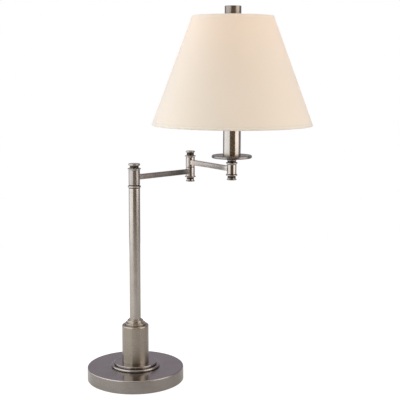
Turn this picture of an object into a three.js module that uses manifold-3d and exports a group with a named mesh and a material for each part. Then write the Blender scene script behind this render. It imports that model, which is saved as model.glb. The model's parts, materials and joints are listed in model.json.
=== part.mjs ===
// Swing-arm table lamp: a weighted round base, a pole, two equal folding arms,
// a candle holder and a paper cone shade carried by a harp.
// Millimetres, +Z up. The pole's axis is x = y = 0 and the base stands on z = 0.

import * as THREE from 'three';
import { mergeVertices } from 'three/addons/utils/BufferGeometryUtils.js';
import Module from 'manifold-3d';

const wasm = await Module();
wasm.setup();

// ---- driving dimensions -------------------------------------------------

const GAP = 0.3;            // room left between pieces that would touch
const THIN_WALL = 1.2;      // spun covers and tubes

// round pieces are faceted: how many facets each size of piece has
const WIDE = 40;
const MIDDLE = 24;
const NARROW = 18;
const SMALL = 12;

const BASE_RADIUS = 95;
const BASE_TOP = 26.5;
const FELT_RADIUS = 92.5;
const FELT_TOP = 2;
const WEIGHT_RADIUS = 93;
const CHANNEL_Z = 11;       // height of the supply lead as it enters the base

const FOOT_RING_RADIUS = 47.8;
const FOOT_RING_TOP = 31.3;
const FOOT_DISC_RADIUS = 42;
const FOOT_DISC_TOP = 35.9;

const SLEEVE_RADIUS = 26.2;
const SLEEVE_TOP = 110.8;
const CAP_STEPS = [[20, 115], [15.5, 120.2], [12.6, 122.6]];

const POLE_RADIUS = 10.95;
const POLE_BOTTOM = 114;
const POLE_TOP = 381.7;
const POLE_RING_RADIUS = 12.8;
const POLE_RING_TOP = 388;

const PIPE_RADIUS = 4.9;    // threaded lamp pipe
const PIPE_BORE = 3.4;
const LEAD_RADIUS = 1.8;     // two-core lamp lead

const ARM_LENGTH = 150;     // between the axes of two knuckles
const ARM_1_ANGLE = 40.5;   // degrees from +X, seen from above
const ARM_2_ANGLE = -61.7;
const BAR_SIZE = 9.6;       // square bar
const BAR_WALL = 1;
const ARM_1_Z = 403.2;
const ARM_2_Z = 422.3;

const HEAD_BOTTOM = 388.9;
const HEAD_TOP = 421.2;
const HEAD_RIM = 12.8;
const HEAD_BUTTON_TOP = 430.2;

const KNUCKLE_RADIUS = 9.1;
const KNUCKLE_RIM = 11.1;
const ELBOW_BOTTOM = 391.4;
const ELBOW_SEAM = 412.3;
const ELBOW_TOP = 436;
const ELBOW_BUTTON_TOP = 445.5;
const ELBOW_BUTTON_BOTTOM = 382.6;
const END_BOTTOM = 409.6;
const END_TOP = 435.6;
const END_BUTTON_BOTTOM = 401.4;

const DISH_RADIUS = 38.3;
const DISH_TOP = 449;
const DISH_FLOOR = 447.4;
const DISH_BOTTOM = 444.5;
const CANDLE_RADIUS = 16.85;
const CANDLE_BOTTOM = 448.4;
const CANDLE_TOP = 516;

const SADDLE_SPAN = 27;     // from the axis to each harp post
const SADDLE_WIDTH = 11;
const SADDLE_THICKNESS = 1.6;
const POST_TOP = 536;
const FERRULE_LENGTH = 12;
const HARP_WIRE_RADIUS = 1.6;
const HARP_WIDEST = 52;
const HARP_TOP = 694;

const SOCKET_RADIUS = 19;
const SOCKET_BOTTOM = 517.9;
const SOCKET_SEAM = 531;
const SOCKET_TOP = 563;
const SWITCH_Z = 541;
const KNOB_RADIUS = 5;
const KNOB_LENGTH = 13;

const BULB_RADIUS = 30;
const BULB_BASE_BOTTOM = 546;
const BULB_BASE_TOP = 571;
const BULB_TOP = 654;

const SHADE_BOTTOM = 505.7;
const SHADE_TOP = 708.8;
const SHADE_BOTTOM_RADIUS = 152.4;
const SHADE_TOP_RADIUS = 76.2;
const PAPER = 0.8;
const RING_WIRE = 1.5;
const SPIDER_HUB_Z = 698.2;
const SPIDER_ARMS = 3;
const FINIAL_RADIUS = 15.5;
const FINIAL_BOTTOM = 700;
const FINIAL_TOP = 727.1;

// ---- materials ----------------------------------------------------------

const finish = (colour, roughness, metalness) =>
  new THREE.MeshStandardMaterial({ color: colour, roughness, metalness });

const NICKEL = finish(0x9c9289, 0.35, 0.9);
const STEEL = finish(0x8d8f91, 0.45, 0.9);
const BRASS = finish(0xb39a5c, 0.4, 0.9);
const IRON = finish(0x3d3d3f, 0.8, 0.6);
const FELT = finish(0x2e3430, 1, 0);
const PLASTIC = finish(0x1c1b1a, 0.5, 0);
const CARD = finish(0x5a4a3a, 0.9, 0);
const GLASS = finish(0xf4f2ec, 0.3, 0);
const SHADE_PAPER = finish(0xf3e8d8, 0.9, 0);

// ---- shape helpers ------------------------------------------------------

const radians = THREE.MathUtils.degToRad;
const V3 = (x, y, z) => new THREE.Vector3(x, y, z);

const lamp = new THREE.Group();

/** Names a geometry's mesh and adds it to a group. */
function add(group, name, geometry, material) {
  const mesh = new THREE.Mesh(geometry, material);
  mesh.name = name;
  group.add(mesh);
  return mesh;
}

/** A solid of revolution about Z. The outline is [radius, z] pairs, with the outside going up. */
function turned(outline, facets = NARROW) {
  const points = outline.map(([radius, z]) => new THREE.Vector2(radius, z));
  return new THREE.LatheGeometry(points, facets).rotateX(Math.PI / 2);
}

/** A turned solid with a straight bore: the outside outline going up, closed along the bore. */
function bored(outline, bore, facets = NARROW) {
  const bottom = [bore, outline[0][1]];
  const top = [bore, outline[outline.length - 1][1]];
  return turned([bottom, ...outline, top, bottom], facets);
}

/** A turned solid with no bore: the outside outline going up. */
function solid(outline, facets = NARROW) {
  const bottom = [0, outline[0][1]];
  const top = [0, outline[outline.length - 1][1]];
  return turned([bottom, ...outline, top], facets);
}

/** Points of a rounded corner in an outline; angles in degrees, 0 pointing away from the axis. */
function corner(radius, z, size, from, to, steps = 1) {
  return Array.from({ length: steps + 1 }, (_, i) => {
    const angle = radians(from + (to - from) * i / steps);
    return [radius + size * Math.cos(angle), z + size * Math.sin(angle)];
  });
}

/** A plain cylinder or washer's outline with both edges rounded. */
const rounded = (radius, low, high, size) => [
  ...corner(radius - size, low + size, size, -90, 0),
  ...corner(radius - size, high - size, size, 0, 90),
];

/** A box given by its low and highest corners. */
function box(low, high) {
  const size = V3(...high).sub(V3(...low));
  const centre = V3(...low).addScaledVector(size, 0.5);
  return new THREE.BoxGeometry(size.x, size.y, size.z).translate(centre.x, centre.y, centre.z);
}

/** A cylinder along X or Y between two places on that axis. */
function crossCylinder(radius, along, from, to, z, facets = SMALL) {
  const geometry = new THREE.CylinderGeometry(radius, radius, to - from, facets);
  if (along === 'x') {
    return geometry.rotateZ(-Math.PI / 2).translate((from + to) / 2, 0, z);
  }
  return geometry.translate(0, (from + to) / 2, z);
}

/** A round rod that follows a curve. */
function rod(curve, radius, steps, sides = 10) {
  const section = new THREE.Shape();
  for (let i = 0; i < sides; i += 1) {
    const angle = 2 * Math.PI * i / sides;
    const place = [radius * Math.cos(angle), radius * Math.sin(angle)];
    if (i === 0) {
      section.moveTo(...place);
    } else {
      section.lineTo(...place);
    }
  }
  section.closePath();
  return new THREE.ExtrudeGeometry(section, { steps, extrudePath: curve, bevelEnabled: false });
}

/** The solid that manifold-3d works on. */
function toSolid(geometry) {
  const bare = geometry.clone();
  bare.deleteAttribute('normal');
  bare.deleteAttribute('uv');
  const merged = mergeVertices(bare, 1e-4);
  return new wasm.Manifold(new wasm.Mesh({
    numProp: 3,
    vertProperties: new Float32Array(merged.attributes.position.array),
    triVerts: new Uint32Array(merged.index.array),
  }));
}

function toGeometry(manifold) {
  const mesh = manifold.getMesh();
  const geometry = new THREE.BufferGeometry();
  geometry.setAttribute('position', new THREE.BufferAttribute(mesh.vertProperties, 3));
  geometry.setIndex(new THREE.BufferAttribute(mesh.triVerts, 1));
  geometry.computeVertexNormals();
  return geometry;
}

const cut = (geometry, ...tools) =>
  toGeometry(tools.reduce((left, tool) => left.subtract(toSolid(tool)), toSolid(geometry)));

const join = (geometry, ...others) =>
  toGeometry(others.reduce((whole, other) => whole.add(toSolid(other)), toSolid(geometry)));

// ---- base ---------------------------------------------------------------

const FELT_EDGE = 0.4;
const COUNTERBORE_RADIUS = 15;
const COUNTERBORE_TOP = 14;
const WASHER_THICKNESS = 1.5;
const NUT_THICKNESS = 4;
const NUT_RADIUS = 9.8;
const NUT_BOTTOM = COUNTERBORE_TOP - WASHER_THICKNESS - NUT_THICKNESS;
const INLET_RADIUS = 4.6;

function baseFelt() {
  return solid([
    [FELT_RADIUS, 0],
    [FELT_RADIUS, FELT_TOP - FELT_EDGE],
    [FELT_RADIUS - FELT_EDGE, FELT_TOP],
  ], WIDE);
}

function baseShell() {
  const lip = 1.2;          // the cover's edge clears the table by this much
  const round = 0.9;
  const inner = BASE_RADIUS - THIN_WALL;
  const cover = turned([
    [inner, lip],
    ...corner(BASE_RADIUS - round, lip + round, round, -90, 0),
    ...corner(BASE_RADIUS - round, BASE_TOP - round, round, 0, 90, 2),
    [PIPE_RADIUS + GAP, BASE_TOP],
    [PIPE_RADIUS + GAP, BASE_TOP - THIN_WALL],
    [inner, BASE_TOP - THIN_WALL],
    [inner, lip],
  ], WIDE);
  return cut(cover, crossCylinder(INLET_RADIUS, 'y', inner - 8, BASE_RADIUS + 8, CHANNEL_Z));
}

function baseWeight() {
  const top = BASE_TOP - THIN_WALL;
  const pocket = { inner: 30, outer: 80, top: 11 };
  const slug = turned([
    [COUNTERBORE_RADIUS, FELT_TOP],
    [pocket.inner, FELT_TOP],
    [pocket.inner, pocket.top],
    [pocket.outer, pocket.top],
    [pocket.outer, FELT_TOP],
    [WEIGHT_RADIUS - 1, FELT_TOP],
    [WEIGHT_RADIUS, FELT_TOP + 1],
    [WEIGHT_RADIUS, top - 1],
    [WEIGHT_RADIUS - 1, top],
    [PIPE_RADIUS + GAP, top],
    [PIPE_RADIUS + GAP, COUNTERBORE_TOP],
    [COUNTERBORE_RADIUS, COUNTERBORE_TOP],
    [COUNTERBORE_RADIUS, FELT_TOP],
  ], MIDDLE);
  const halfWidth = 5.5;
  const channel = box([-halfWidth, 5, FELT_TOP - 1], [halfWidth, BASE_RADIUS, COUNTERBORE_TOP + 2]);
  const middle = turned([
    [0, FELT_TOP - 2],
    [COUNTERBORE_RADIUS - 2, FELT_TOP - 2],
    [COUNTERBORE_RADIUS - 2, COUNTERBORE_TOP + 3],
    [0, COUNTERBORE_TOP + 3],
  ]);
  return toGeometry(toSolid(slug).subtract(toSolid(channel).subtract(toSolid(middle))));
}

function cordBushing() {
  const flange = { radius: 6.6, thickness: 1.6 };
  const body = INLET_RADIUS - GAP;
  const bore = 2.9;
  const start = WEIGHT_RADIUS - BASE_RADIUS + 1;
  const outline = [
    [body, start],
    [body, GAP],
    [flange.radius, GAP],
    ...corner(flange.radius - 0.7, flange.thickness - 0.7, 0.7, 0, 90),
  ];
  return bored(outline, bore, SMALL).rotateX(-Math.PI / 2).translate(0, BASE_RADIUS, CHANNEL_Z);
}

const LEAD_JOINT_Z = 20;    // the lead in the base and the lead in the pole meet here

/** The lead from the bushing, along the weight's channel and up into the hollow rod. */
function baseLead() {
  const underNut = FELT_TOP + LEAD_RADIUS + 0.6;
  const route = new THREE.CatmullRomCurve3([
    V3(0, BASE_RADIUS - 1, CHANNEL_Z),
    V3(0, 60, CHANNEL_Z),
    V3(0, 28, CHANNEL_Z - 3),
    V3(0, 13, underNut),
    V3(0, 5, underNut),
    V3(0, 0.2, NUT_BOTTOM - 1.6),
    V3(0, 0, NUT_BOTTOM + 3),
    V3(0, 0, LEAD_JOINT_Z),
  ]);
  return rod(route, LEAD_RADIUS, 34, 8);
}

/** A straight upright stretch of lead on the axis. */
function uprightLead(low, high) {
  return solid([[LEAD_RADIUS, low], [LEAD_RADIUS, high]], 8);
}

function hexNut(low, high) {
  const prism = solid([[NUT_RADIUS, low], [NUT_RADIUS, high]], 6);
  const bore = PIPE_RADIUS + GAP;
  return cut(prism, solid([[bore, low - 1], [bore, high + 1]], NARROW));
}

add(lamp, 'base_felt', baseFelt(), FELT);
add(lamp, 'base_shell', baseShell(), NICKEL);
add(lamp, 'base_weight', baseWeight(), IRON);
add(lamp, 'cord_bushing', cordBushing(), PLASTIC);
add(lamp, 'base_lead', baseLead(), PLASTIC);
add(lamp, 'pole_lead', uprightLead(LEAD_JOINT_Z + GAP, ARM_1_Z + 2), PLASTIC);
add(lamp, 'base_washer', bored([
  [12.5, COUNTERBORE_TOP - WASHER_THICKNESS],
  [12.5, COUNTERBORE_TOP],
], PIPE_RADIUS + GAP, NARROW), STEEL);
add(lamp, 'base_nut', hexNut(NUT_BOTTOM, NUT_BOTTOM + NUT_THICKNESS), STEEL);

// ---- foot, sleeve and pole ----------------------------------------------

function footRing() {
  const middle = (BASE_TOP + FOOT_RING_TOP) / 2;
  const bead = (FOOT_RING_TOP - BASE_TOP) / 2;
  return bored([
    [FOOT_RING_RADIUS - bead, BASE_TOP],
    ...corner(FOOT_RING_RADIUS - bead, middle, bead, -60, 60, 4),
    [FOOT_RING_RADIUS - bead, FOOT_RING_TOP],
  ], PIPE_RADIUS + GAP, MIDDLE);
}

function footDisc() {
  const groove = 1.1;
  const neck = FOOT_DISC_RADIUS - 2.6;
  return bored([
    [neck, FOOT_RING_TOP],
    [neck, FOOT_RING_TOP + groove],
    [FOOT_DISC_RADIUS - 0.6, FOOT_RING_TOP + groove],
    [FOOT_DISC_RADIUS, FOOT_RING_TOP + groove + 0.6],
    ...corner(FOOT_DISC_RADIUS - 1, FOOT_DISC_TOP - 1, 1, 0, 90),
  ], PIPE_RADIUS + GAP, MIDDLE);
}

function baseSleeve() {
  const round = 2.8;
  const wall = 1.6;
  const mouth = CAP_STEPS[0][0] + GAP;
  const inner = SLEEVE_RADIUS - wall;
  return turned([
    [inner, FOOT_DISC_TOP],
    [SLEEVE_RADIUS, FOOT_DISC_TOP],
    ...corner(SLEEVE_RADIUS - round, SLEEVE_TOP - round, round, 0, 90, 3),
    [mouth, SLEEVE_TOP],
    [mouth, SLEEVE_TOP - wall],
    ...corner(SLEEVE_RADIUS - round, SLEEVE_TOP - round, round - wall, 90, 0),
    [inner, FOOT_DISC_TOP],
  ], MIDDLE);
}

/** A stepped cap: its skirt sits under the sleeve's mouth and the pole stands in its bore. */
function sleeveCap() {
  const [wide, middle, slim] = CAP_STEPS;
  const skirt = SLEEVE_RADIUS - 1.6 - 3;
  const under = SLEEVE_TOP - 1.6 - GAP;
  const round = 1;
  return turned([
    [PIPE_RADIUS + GAP, under - 4],
    [skirt, under - 4],
    [skirt, under],
    [wide[0], under],
    ...corner(wide[0] - round, wide[1] - round, round, 0, 90),
    ...corner(middle[0] - round, middle[1] - round, round, 0, 90),
    ...corner(slim[0] - 0.8, slim[1] - 0.8, 0.8, 0, 90),
    [POLE_RADIUS + GAP, slim[1]],
    [POLE_RADIUS + GAP, POLE_BOTTOM],
    [PIPE_RADIUS + GAP, POLE_BOTTOM],
    [PIPE_RADIUS + GAP, under - 4],
  ], MIDDLE);
}

function poleRing() {
  const bead = 1.9;
  return bored([
    [POLE_RADIUS, POLE_TOP],
    [POLE_RADIUS + 0.5, POLE_TOP + 0.7],
    ...corner(POLE_RING_RADIUS - bead, (POLE_TOP + POLE_RING_TOP) / 2, bead, -70, 70, 4),
    [POLE_RADIUS + 0.5, POLE_RING_TOP - 0.7],
    [POLE_RADIUS, POLE_RING_TOP],
  ], PIPE_RADIUS + GAP, MIDDLE);
}

const BUSH_RADIUS = 6.6;
const BUSH_TOP = HEAD_TOP + GAP;
const BUTTON_BOTTOM = 426;
const PIPE_TOP = HEAD_BUTTON_TOP - 2;

/** The side window through which the lead leaves the hollow rod for the first arm. */
function leadWindow() {
  const window = box([0, -LEAD_RADIUS, ARM_1_Z - 3], [BUSH_RADIUS + 2, LEAD_RADIUS, ARM_1_Z + 5]);
  return window.rotateZ(radians(ARM_1_ANGLE));
}

function tieRod() {
  const pipe = bored([[PIPE_RADIUS, NUT_BOTTOM - 0.5], [PIPE_RADIUS, PIPE_TOP]], PIPE_BORE, SMALL);
  return cut(pipe, leadWindow());
}

function headBush() {
  const tube = bored([
    [BUSH_RADIUS, POLE_RING_TOP],
    [BUSH_RADIUS, BUSH_TOP],
  ], PIPE_RADIUS + GAP, NARROW);
  return cut(tube, leadWindow());
}

/** Gives a turned outline's solid a blind bore from below, so that it screws onto a pipe. */
function blindBored(outline, boreTop, bore = PIPE_RADIUS + GAP, facets = NARROW) {
  const top = outline[outline.length - 1][1];
  return turned([
    [0, boreTop],
    [bore, boreTop],
    [bore, outline[0][1]],
    ...outline,
    [0, top],
  ], facets);
}

add(lamp, 'foot_ring', footRing(), NICKEL);
add(lamp, 'foot_disc', footDisc(), NICKEL);
add(lamp, 'base_sleeve', baseSleeve(), NICKEL);
add(lamp, 'sleeve_cap', sleeveCap(), NICKEL);
add(lamp, 'pole_tube', bored([
  [POLE_RADIUS, POLE_BOTTOM],
  [POLE_RADIUS, POLE_TOP],
], POLE_RADIUS - THIN_WALL, NARROW), NICKEL);
add(lamp, 'pole_ring', poleRing(), NICKEL);
add(lamp, 'tie_rod', tieRod(), STEEL);
add(lamp, 'head_bush', headBush(), BRASS);
add(lamp, 'head_washer', bored([
  [9.4, POLE_RING_TOP],
  [9.4, HEAD_BOTTOM - GAP],
], BUSH_RADIUS + GAP, NARROW), PLASTIC);
add(lamp, 'head_nut', bored([
  [9, BUSH_TOP],
  [9, BUTTON_BOTTOM],
], PIPE_RADIUS + GAP, NARROW), NICKEL);
add(lamp, 'head_button', blindBored(
  rounded(11.3, BUTTON_BOTTOM, HEAD_BUTTON_TOP, 1.5),
  PIPE_TOP + GAP,
), NICKEL);

// ---- arms ---------------------------------------------------------------

const BAR_START = 8.4;      // from a knuckle's axis to the end of a bar
const SPINDLE_BORE = PIPE_RADIUS + GAP;

/** A square bar with softened edges between two knuckles, along +X. */
function squareBar(z) {
  const half = BAR_SIZE / 2;
  const soft = 0.7;
  const section = new THREE.Shape();
  section.moveTo(-half + soft, -half);
  section.lineTo(half - soft, -half);
  section.lineTo(half, -half + soft);
  section.lineTo(half, half - soft);
  section.lineTo(half - soft, half);
  section.lineTo(-half + soft, half);
  section.lineTo(-half, half - soft);
  section.lineTo(-half, -half + soft);
  section.closePath();
  const bore = new THREE.Path();
  const inside = half - BAR_WALL;
  bore.moveTo(-inside, -inside);
  bore.lineTo(-inside, inside);
  bore.lineTo(inside, inside);
  bore.lineTo(inside, -inside);
  bore.closePath();
  section.holes.push(bore);
  const depth = ARM_LENGTH - 2 * BAR_START;
  const bar = new THREE.ExtrudeGeometry(section, { depth, bevelEnabled: false });
  return bar.rotateY(Math.PI / 2).translate(BAR_START, 0, z);
}

/** The mouth that a bar enters, cut through a knuckle's wall on its +X side. */
function barMouth(z) {
  const half = BAR_SIZE / 2 + GAP;
  return box([0, -half, z - half], [20, half, z + half]);
}

/** The lead in an arm's hollow bar. */
function armLead(z) {
  const inset = 14;
  return crossCylinder(LEAD_RADIUS, 'x', inset, ARM_LENGTH - inset, z, 8);
}

/** A knuckle's outline, with a flared rim at its bottom, its top or both. */
function knuckle(radius, rim, low, high, flareLow, flareHigh) {
  const outline = [];
  if (flareLow) {
    outline.push([radius - 0.4, low], [rim - 0.7, low], [rim, low + 0.8], [rim - 0.5, low + 1.7]);
    outline.push([radius + 0.5, low + 3], [radius, low + 4.6]);
  } else {
    outline.push([radius - 0.4, low], [radius, low + 0.4]);
  }
  if (flareHigh) {
    outline.push([radius, high - 4.6], [radius + 0.5, high - 3], [rim - 0.5, high - 1.7]);
    outline.push([rim, high - 0.8], [rim - 0.7, high], [radius - 0.4, high]);
  } else {
    outline.push([radius, high - 0.4], [radius - 0.4, high]);
  }
  return outline;
}

/** Turns a knuckle about its own axis, which stands at `x` on the arm's line. */
function placedKnuckle(outline, bore, x, mouthZ, mouthSide, facets = NARROW) {
  const mouth = barMouth(mouthZ);
  if (mouthSide < 0) {
    mouth.rotateZ(Math.PI);
  }
  const hollow = bored(outline, bore, facets);
  const core = solid([[bore - 0.1, mouthZ - 10], [bore - 0.1, mouthZ + 10]], facets);
  const tool = toSolid(mouth).subtract(toSolid(core));
  return toGeometry(toSolid(hollow).subtract(tool)).translate(x, 0, 0);
}

const arm1 = new THREE.Group();
arm1.rotation.z = radians(ARM_1_ANGLE);
lamp.add(arm1);

const arm2 = new THREE.Group();
arm2.position.set(
  ARM_LENGTH * Math.cos(radians(ARM_1_ANGLE)),
  ARM_LENGTH * Math.sin(radians(ARM_1_ANGLE)),
  0,
);
arm2.rotation.z = radians(ARM_2_ANGLE);
lamp.add(arm2);

const ELBOW_NECK = 7.7;
const NECK_HIGH = 442;
const NECK_LOW = 387;
const ELBOW_PIPE = [NECK_LOW - 2.4, NECK_HIGH + 1.6];

add(arm1, 'head_knuckle', placedKnuckle(
  knuckle(POLE_RADIUS, HEAD_RIM, HEAD_BOTTOM, HEAD_TOP, false, true),
  BUSH_RADIUS + GAP, 0, ARM_1_Z, 1,
), NICKEL);
add(arm1, 'arm_1_bar', squareBar(ARM_1_Z), NICKEL);
add(arm1, 'arm_1_lead', armLead(ARM_1_Z), PLASTIC);
add(arm1, 'elbow_lower_knuckle', placedKnuckle(
  knuckle(KNUCKLE_RADIUS, KNUCKLE_RIM, ELBOW_BOTTOM, ELBOW_SEAM - 0.5, true, false),
  SPINDLE_BORE, ARM_LENGTH, ARM_1_Z, -1,
), NICKEL);
add(arm1, 'elbow_spindle', bored([
  [PIPE_RADIUS, ELBOW_PIPE[0]],
  [PIPE_RADIUS, ELBOW_PIPE[1]],
], PIPE_BORE, SMALL).translate(ARM_LENGTH, 0, 0), STEEL);
add(arm1, 'elbow_washer', bored([
  [8.2, ELBOW_SEAM - 0.5],
  [8.2, ELBOW_SEAM + 0.2],
], SPINDLE_BORE, NARROW).translate(ARM_LENGTH, 0, 0), BRASS);
add(arm1, 'elbow_top_nut', bored([
  [ELBOW_NECK, ELBOW_TOP + GAP],
  [ELBOW_NECK, NECK_HIGH - 1.4],
  [ELBOW_NECK - 1, NECK_HIGH - 0.2],
], SPINDLE_BORE, NARROW).translate(ARM_LENGTH, 0, 0), NICKEL);
add(arm1, 'elbow_top_button', blindBored(
  rounded(9.4, NECK_HIGH - 0.2, ELBOW_BUTTON_TOP, 1.2),
  ELBOW_PIPE[1] + GAP,
).translate(ARM_LENGTH, 0, 0), NICKEL);
add(arm1, 'elbow_lower_nut', bored([
  [ELBOW_NECK - 0.8, NECK_LOW],
  [ELBOW_NECK, NECK_LOW + 1.2],
  [ELBOW_NECK, ELBOW_BOTTOM],
], SPINDLE_BORE, NARROW).translate(ARM_LENGTH, 0, 0), NICKEL);

/** A button that hangs under a knuckle: a dished disc, widest at its lower edge. */
function hangingButton(radius, low, high, boreBottom) {
  const edge = 0.9;
  return turned([
    [0, low],
    [radius - edge, low],
    ...corner(radius - edge, low + edge, edge, -90, 20, 2),
    [radius - 1.8, high],
    [SPINDLE_BORE, high],
    [SPINDLE_BORE, boreBottom],
    [0, boreBottom],
  ], NARROW);
}

add(arm1, 'elbow_lower_button', hangingButton(
  9.2, ELBOW_BUTTON_BOTTOM, NECK_LOW, ELBOW_PIPE[0] - GAP,
).translate(ARM_LENGTH, 0, 0), NICKEL);

add(arm2, 'elbow_upper_knuckle', placedKnuckle(
  knuckle(KNUCKLE_RADIUS, KNUCKLE_RIM, ELBOW_SEAM + 0.5, ELBOW_TOP, false, true),
  SPINDLE_BORE, 0, ARM_2_Z, 1,
), NICKEL);
add(arm2, 'arm_2_bar', squareBar(ARM_2_Z), NICKEL);
add(arm2, 'arm_2_lead', armLead(ARM_2_Z), PLASTIC);

// ---- end knuckle, dish and candle ---------------------------------------

const end = new THREE.Group();
end.position.x = ARM_LENGTH;
arm2.add(end);

const END_NECK_LOW = 405.4;
const END_PIPE = [END_NECK_LOW - 2.2, 523];
const PIPE_HOLE = PIPE_RADIUS + GAP;

/** A turned neck under the dish, with a bead round it and a small spread at its top. */
function dishNeck() {
  const neck = 8.2;
  const bead = 1;
  const beadZ = END_TOP + 4;
  return bored([
    [neck, END_TOP],
    [neck, beadZ - bead],
    ...corner(neck, beadZ, bead, -60, 60, 3),
    [neck, beadZ + bead],
    [neck, DISH_BOTTOM - 1.6],
    [neck + 1.8, DISH_BOTTOM],
  ], PIPE_HOLE, NARROW);
}

/** A flat turned dish with a shallow well and a thick rounded rim. */
function dripDish() {
  const edge = 1.7;
  const lip = 3.4;
  return turned([
    [PIPE_HOLE, DISH_BOTTOM],
    ...corner(DISH_RADIUS - edge, DISH_BOTTOM + edge, edge, -90, 0, 3),
    ...corner(DISH_RADIUS - edge, DISH_TOP - edge, edge, 0, 90, 3),
    [DISH_RADIUS - lip, DISH_FLOOR],
    [PIPE_HOLE, DISH_FLOOR],
    [PIPE_HOLE, DISH_BOTTOM],
  ], MIDDLE);
}

/** The candle tube stands in a shallow cup on the dish, and its cap closes its top. */
function candleTube() {
  return bored([
    [CANDLE_RADIUS, CANDLE_BOTTOM],
    [CANDLE_RADIUS, CANDLE_TOP - 3],
  ], CANDLE_RADIUS - THIN_WALL, MIDDLE);
}

function candleCup() {
  const wall = 1.3;
  const outer = CANDLE_RADIUS - THIN_WALL - GAP;
  return turned([
    [PIPE_HOLE, DISH_FLOOR],
    [CANDLE_RADIUS, DISH_FLOOR],
    [CANDLE_RADIUS, CANDLE_BOTTOM],
    [outer, CANDLE_BOTTOM],
    [outer, CANDLE_BOTTOM + 8],
    [outer - wall, CANDLE_BOTTOM + 8],
    [outer - wall, CANDLE_BOTTOM],
    [PIPE_HOLE, CANDLE_BOTTOM],
    [PIPE_HOLE, DISH_FLOOR],
  ], MIDDLE);
}

function candleCap() {
  const low = CANDLE_TOP - 3;
  const plug = CANDLE_RADIUS - THIN_WALL - GAP;
  return bored([
    [plug, low - 5],
    [plug, low],
    [CANDLE_RADIUS, low],
    ...corner(CANDLE_RADIUS - 1.2, CANDLE_TOP - 1.2, 1.2, 0, 90, 2),
  ], PIPE_HOLE, MIDDLE);
}

add(end, 'end_knuckle', placedKnuckle(
  knuckle(KNUCKLE_RADIUS, KNUCKLE_RIM, END_BOTTOM, END_TOP, true, true),
  PIPE_HOLE, 0, ARM_2_Z, -1,
), NICKEL);
add(end, 'end_pipe', bored([
  [PIPE_RADIUS, END_PIPE[0]],
  [PIPE_RADIUS, END_PIPE[1]],
], PIPE_BORE, SMALL), STEEL);
add(end, 'end_lower_nut', bored([
  [7.3, END_NECK_LOW],
  [8.1, END_NECK_LOW + 1.2],
  [8.1, END_BOTTOM],
], PIPE_HOLE, NARROW), NICKEL);
add(end, 'end_lower_button', hangingButton(
  9.5, END_BUTTON_BOTTOM, END_NECK_LOW, END_PIPE[0] - GAP,
), NICKEL);
add(end, 'dish_neck', dishNeck(), NICKEL);
add(end, 'drip_dish', dripDish(), NICKEL);
add(end, 'candle_cup', candleCup(), NICKEL);
add(end, 'candle_tube', candleTube(), NICKEL);
add(end, 'candle_cap', candleCap(), NICKEL);
add(end, 'candle_lead', uprightLead(ARM_2_Z - 4, END_PIPE[1] + 4), PLASTIC);

// ---- socket, switch and bulb --------------------------------------------

const SOCKET_WALL = 0.7;
const LINER = 0.6;
const CORE_RADIUS = SOCKET_RADIUS - SOCKET_WALL - LINER - 2 * GAP;
const SCREW_RADIUS = 13.7;
const STEM_RADIUS = 1.7;
const KNOB_SIDE = -1;       // the knob points along this side of the local Y axis

/** A cylinder tool that runs from inside the socket out through its wall, on the knob's side. */
function switchBore(radius) {
  const from = Math.min(KNOB_SIDE * 40, KNOB_SIDE * 6);
  const to = Math.max(KNOB_SIDE * 40, KNOB_SIDE * 6);
  return crossCylinder(radius, 'y', from, to, SWITCH_Z);
}

function socketCap() {
  const low = SOCKET_BOTTOM;
  const rim = SOCKET_RADIUS - SOCKET_WALL - GAP;
  return turned([
    [PIPE_HOLE, low],
    [9, low],
    [9, low + 3.4],
    [14, low + 5.4],
    [rim, low + 10.4],
    [rim, SOCKET_SEAM + 2],
    [rim - SOCKET_WALL, SOCKET_SEAM + 2],
    [rim - SOCKET_WALL, low + 10.8],
    [13.6, low + 6.2],
    [8, low + 4],
    [PIPE_HOLE, low + 4],
    [PIPE_HOLE, low],
  ], MIDDLE);
}

function socketShell() {
  const inner = SOCKET_RADIUS - SOCKET_WALL;
  const lip = 1;
  return cut(turned([
    [inner, SOCKET_SEAM],
    [SOCKET_RADIUS, SOCKET_SEAM],
    [SOCKET_RADIUS, SOCKET_TOP - lip],
    ...corner(inner, SOCKET_TOP - lip, SOCKET_WALL, 0, 180, 3),
    [inner - SOCKET_WALL, SOCKET_TOP - 2 * lip],
    [inner, SOCKET_TOP - 2 * lip],
    [inner, SOCKET_SEAM],
  ], MIDDLE), switchBore(STEM_RADIUS + GAP));
}

function socketLiner() {
  const outer = SOCKET_RADIUS - SOCKET_WALL - GAP;
  return cut(bored([
    [outer, SOCKET_SEAM + 2 + GAP],
    [outer, SOCKET_TOP - 2.4],
  ], outer - LINER, MIDDLE), switchBore(STEM_RADIUS + GAP));
}

const CORE_LOW = 534;
const CORE_HIGH = 548;

function socketCore() {
  const block = turned([
    [0, CORE_LOW],
    [CORE_RADIUS, CORE_LOW],
    [CORE_RADIUS, CORE_HIGH],
    [SCREW_RADIUS + GAP, CORE_HIGH],
    [SCREW_RADIUS + GAP, CORE_HIGH - 3],
    [0, CORE_HIGH - 3],
  ]);
  return cut(block, switchBore(STEM_RADIUS + GAP));
}

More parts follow.
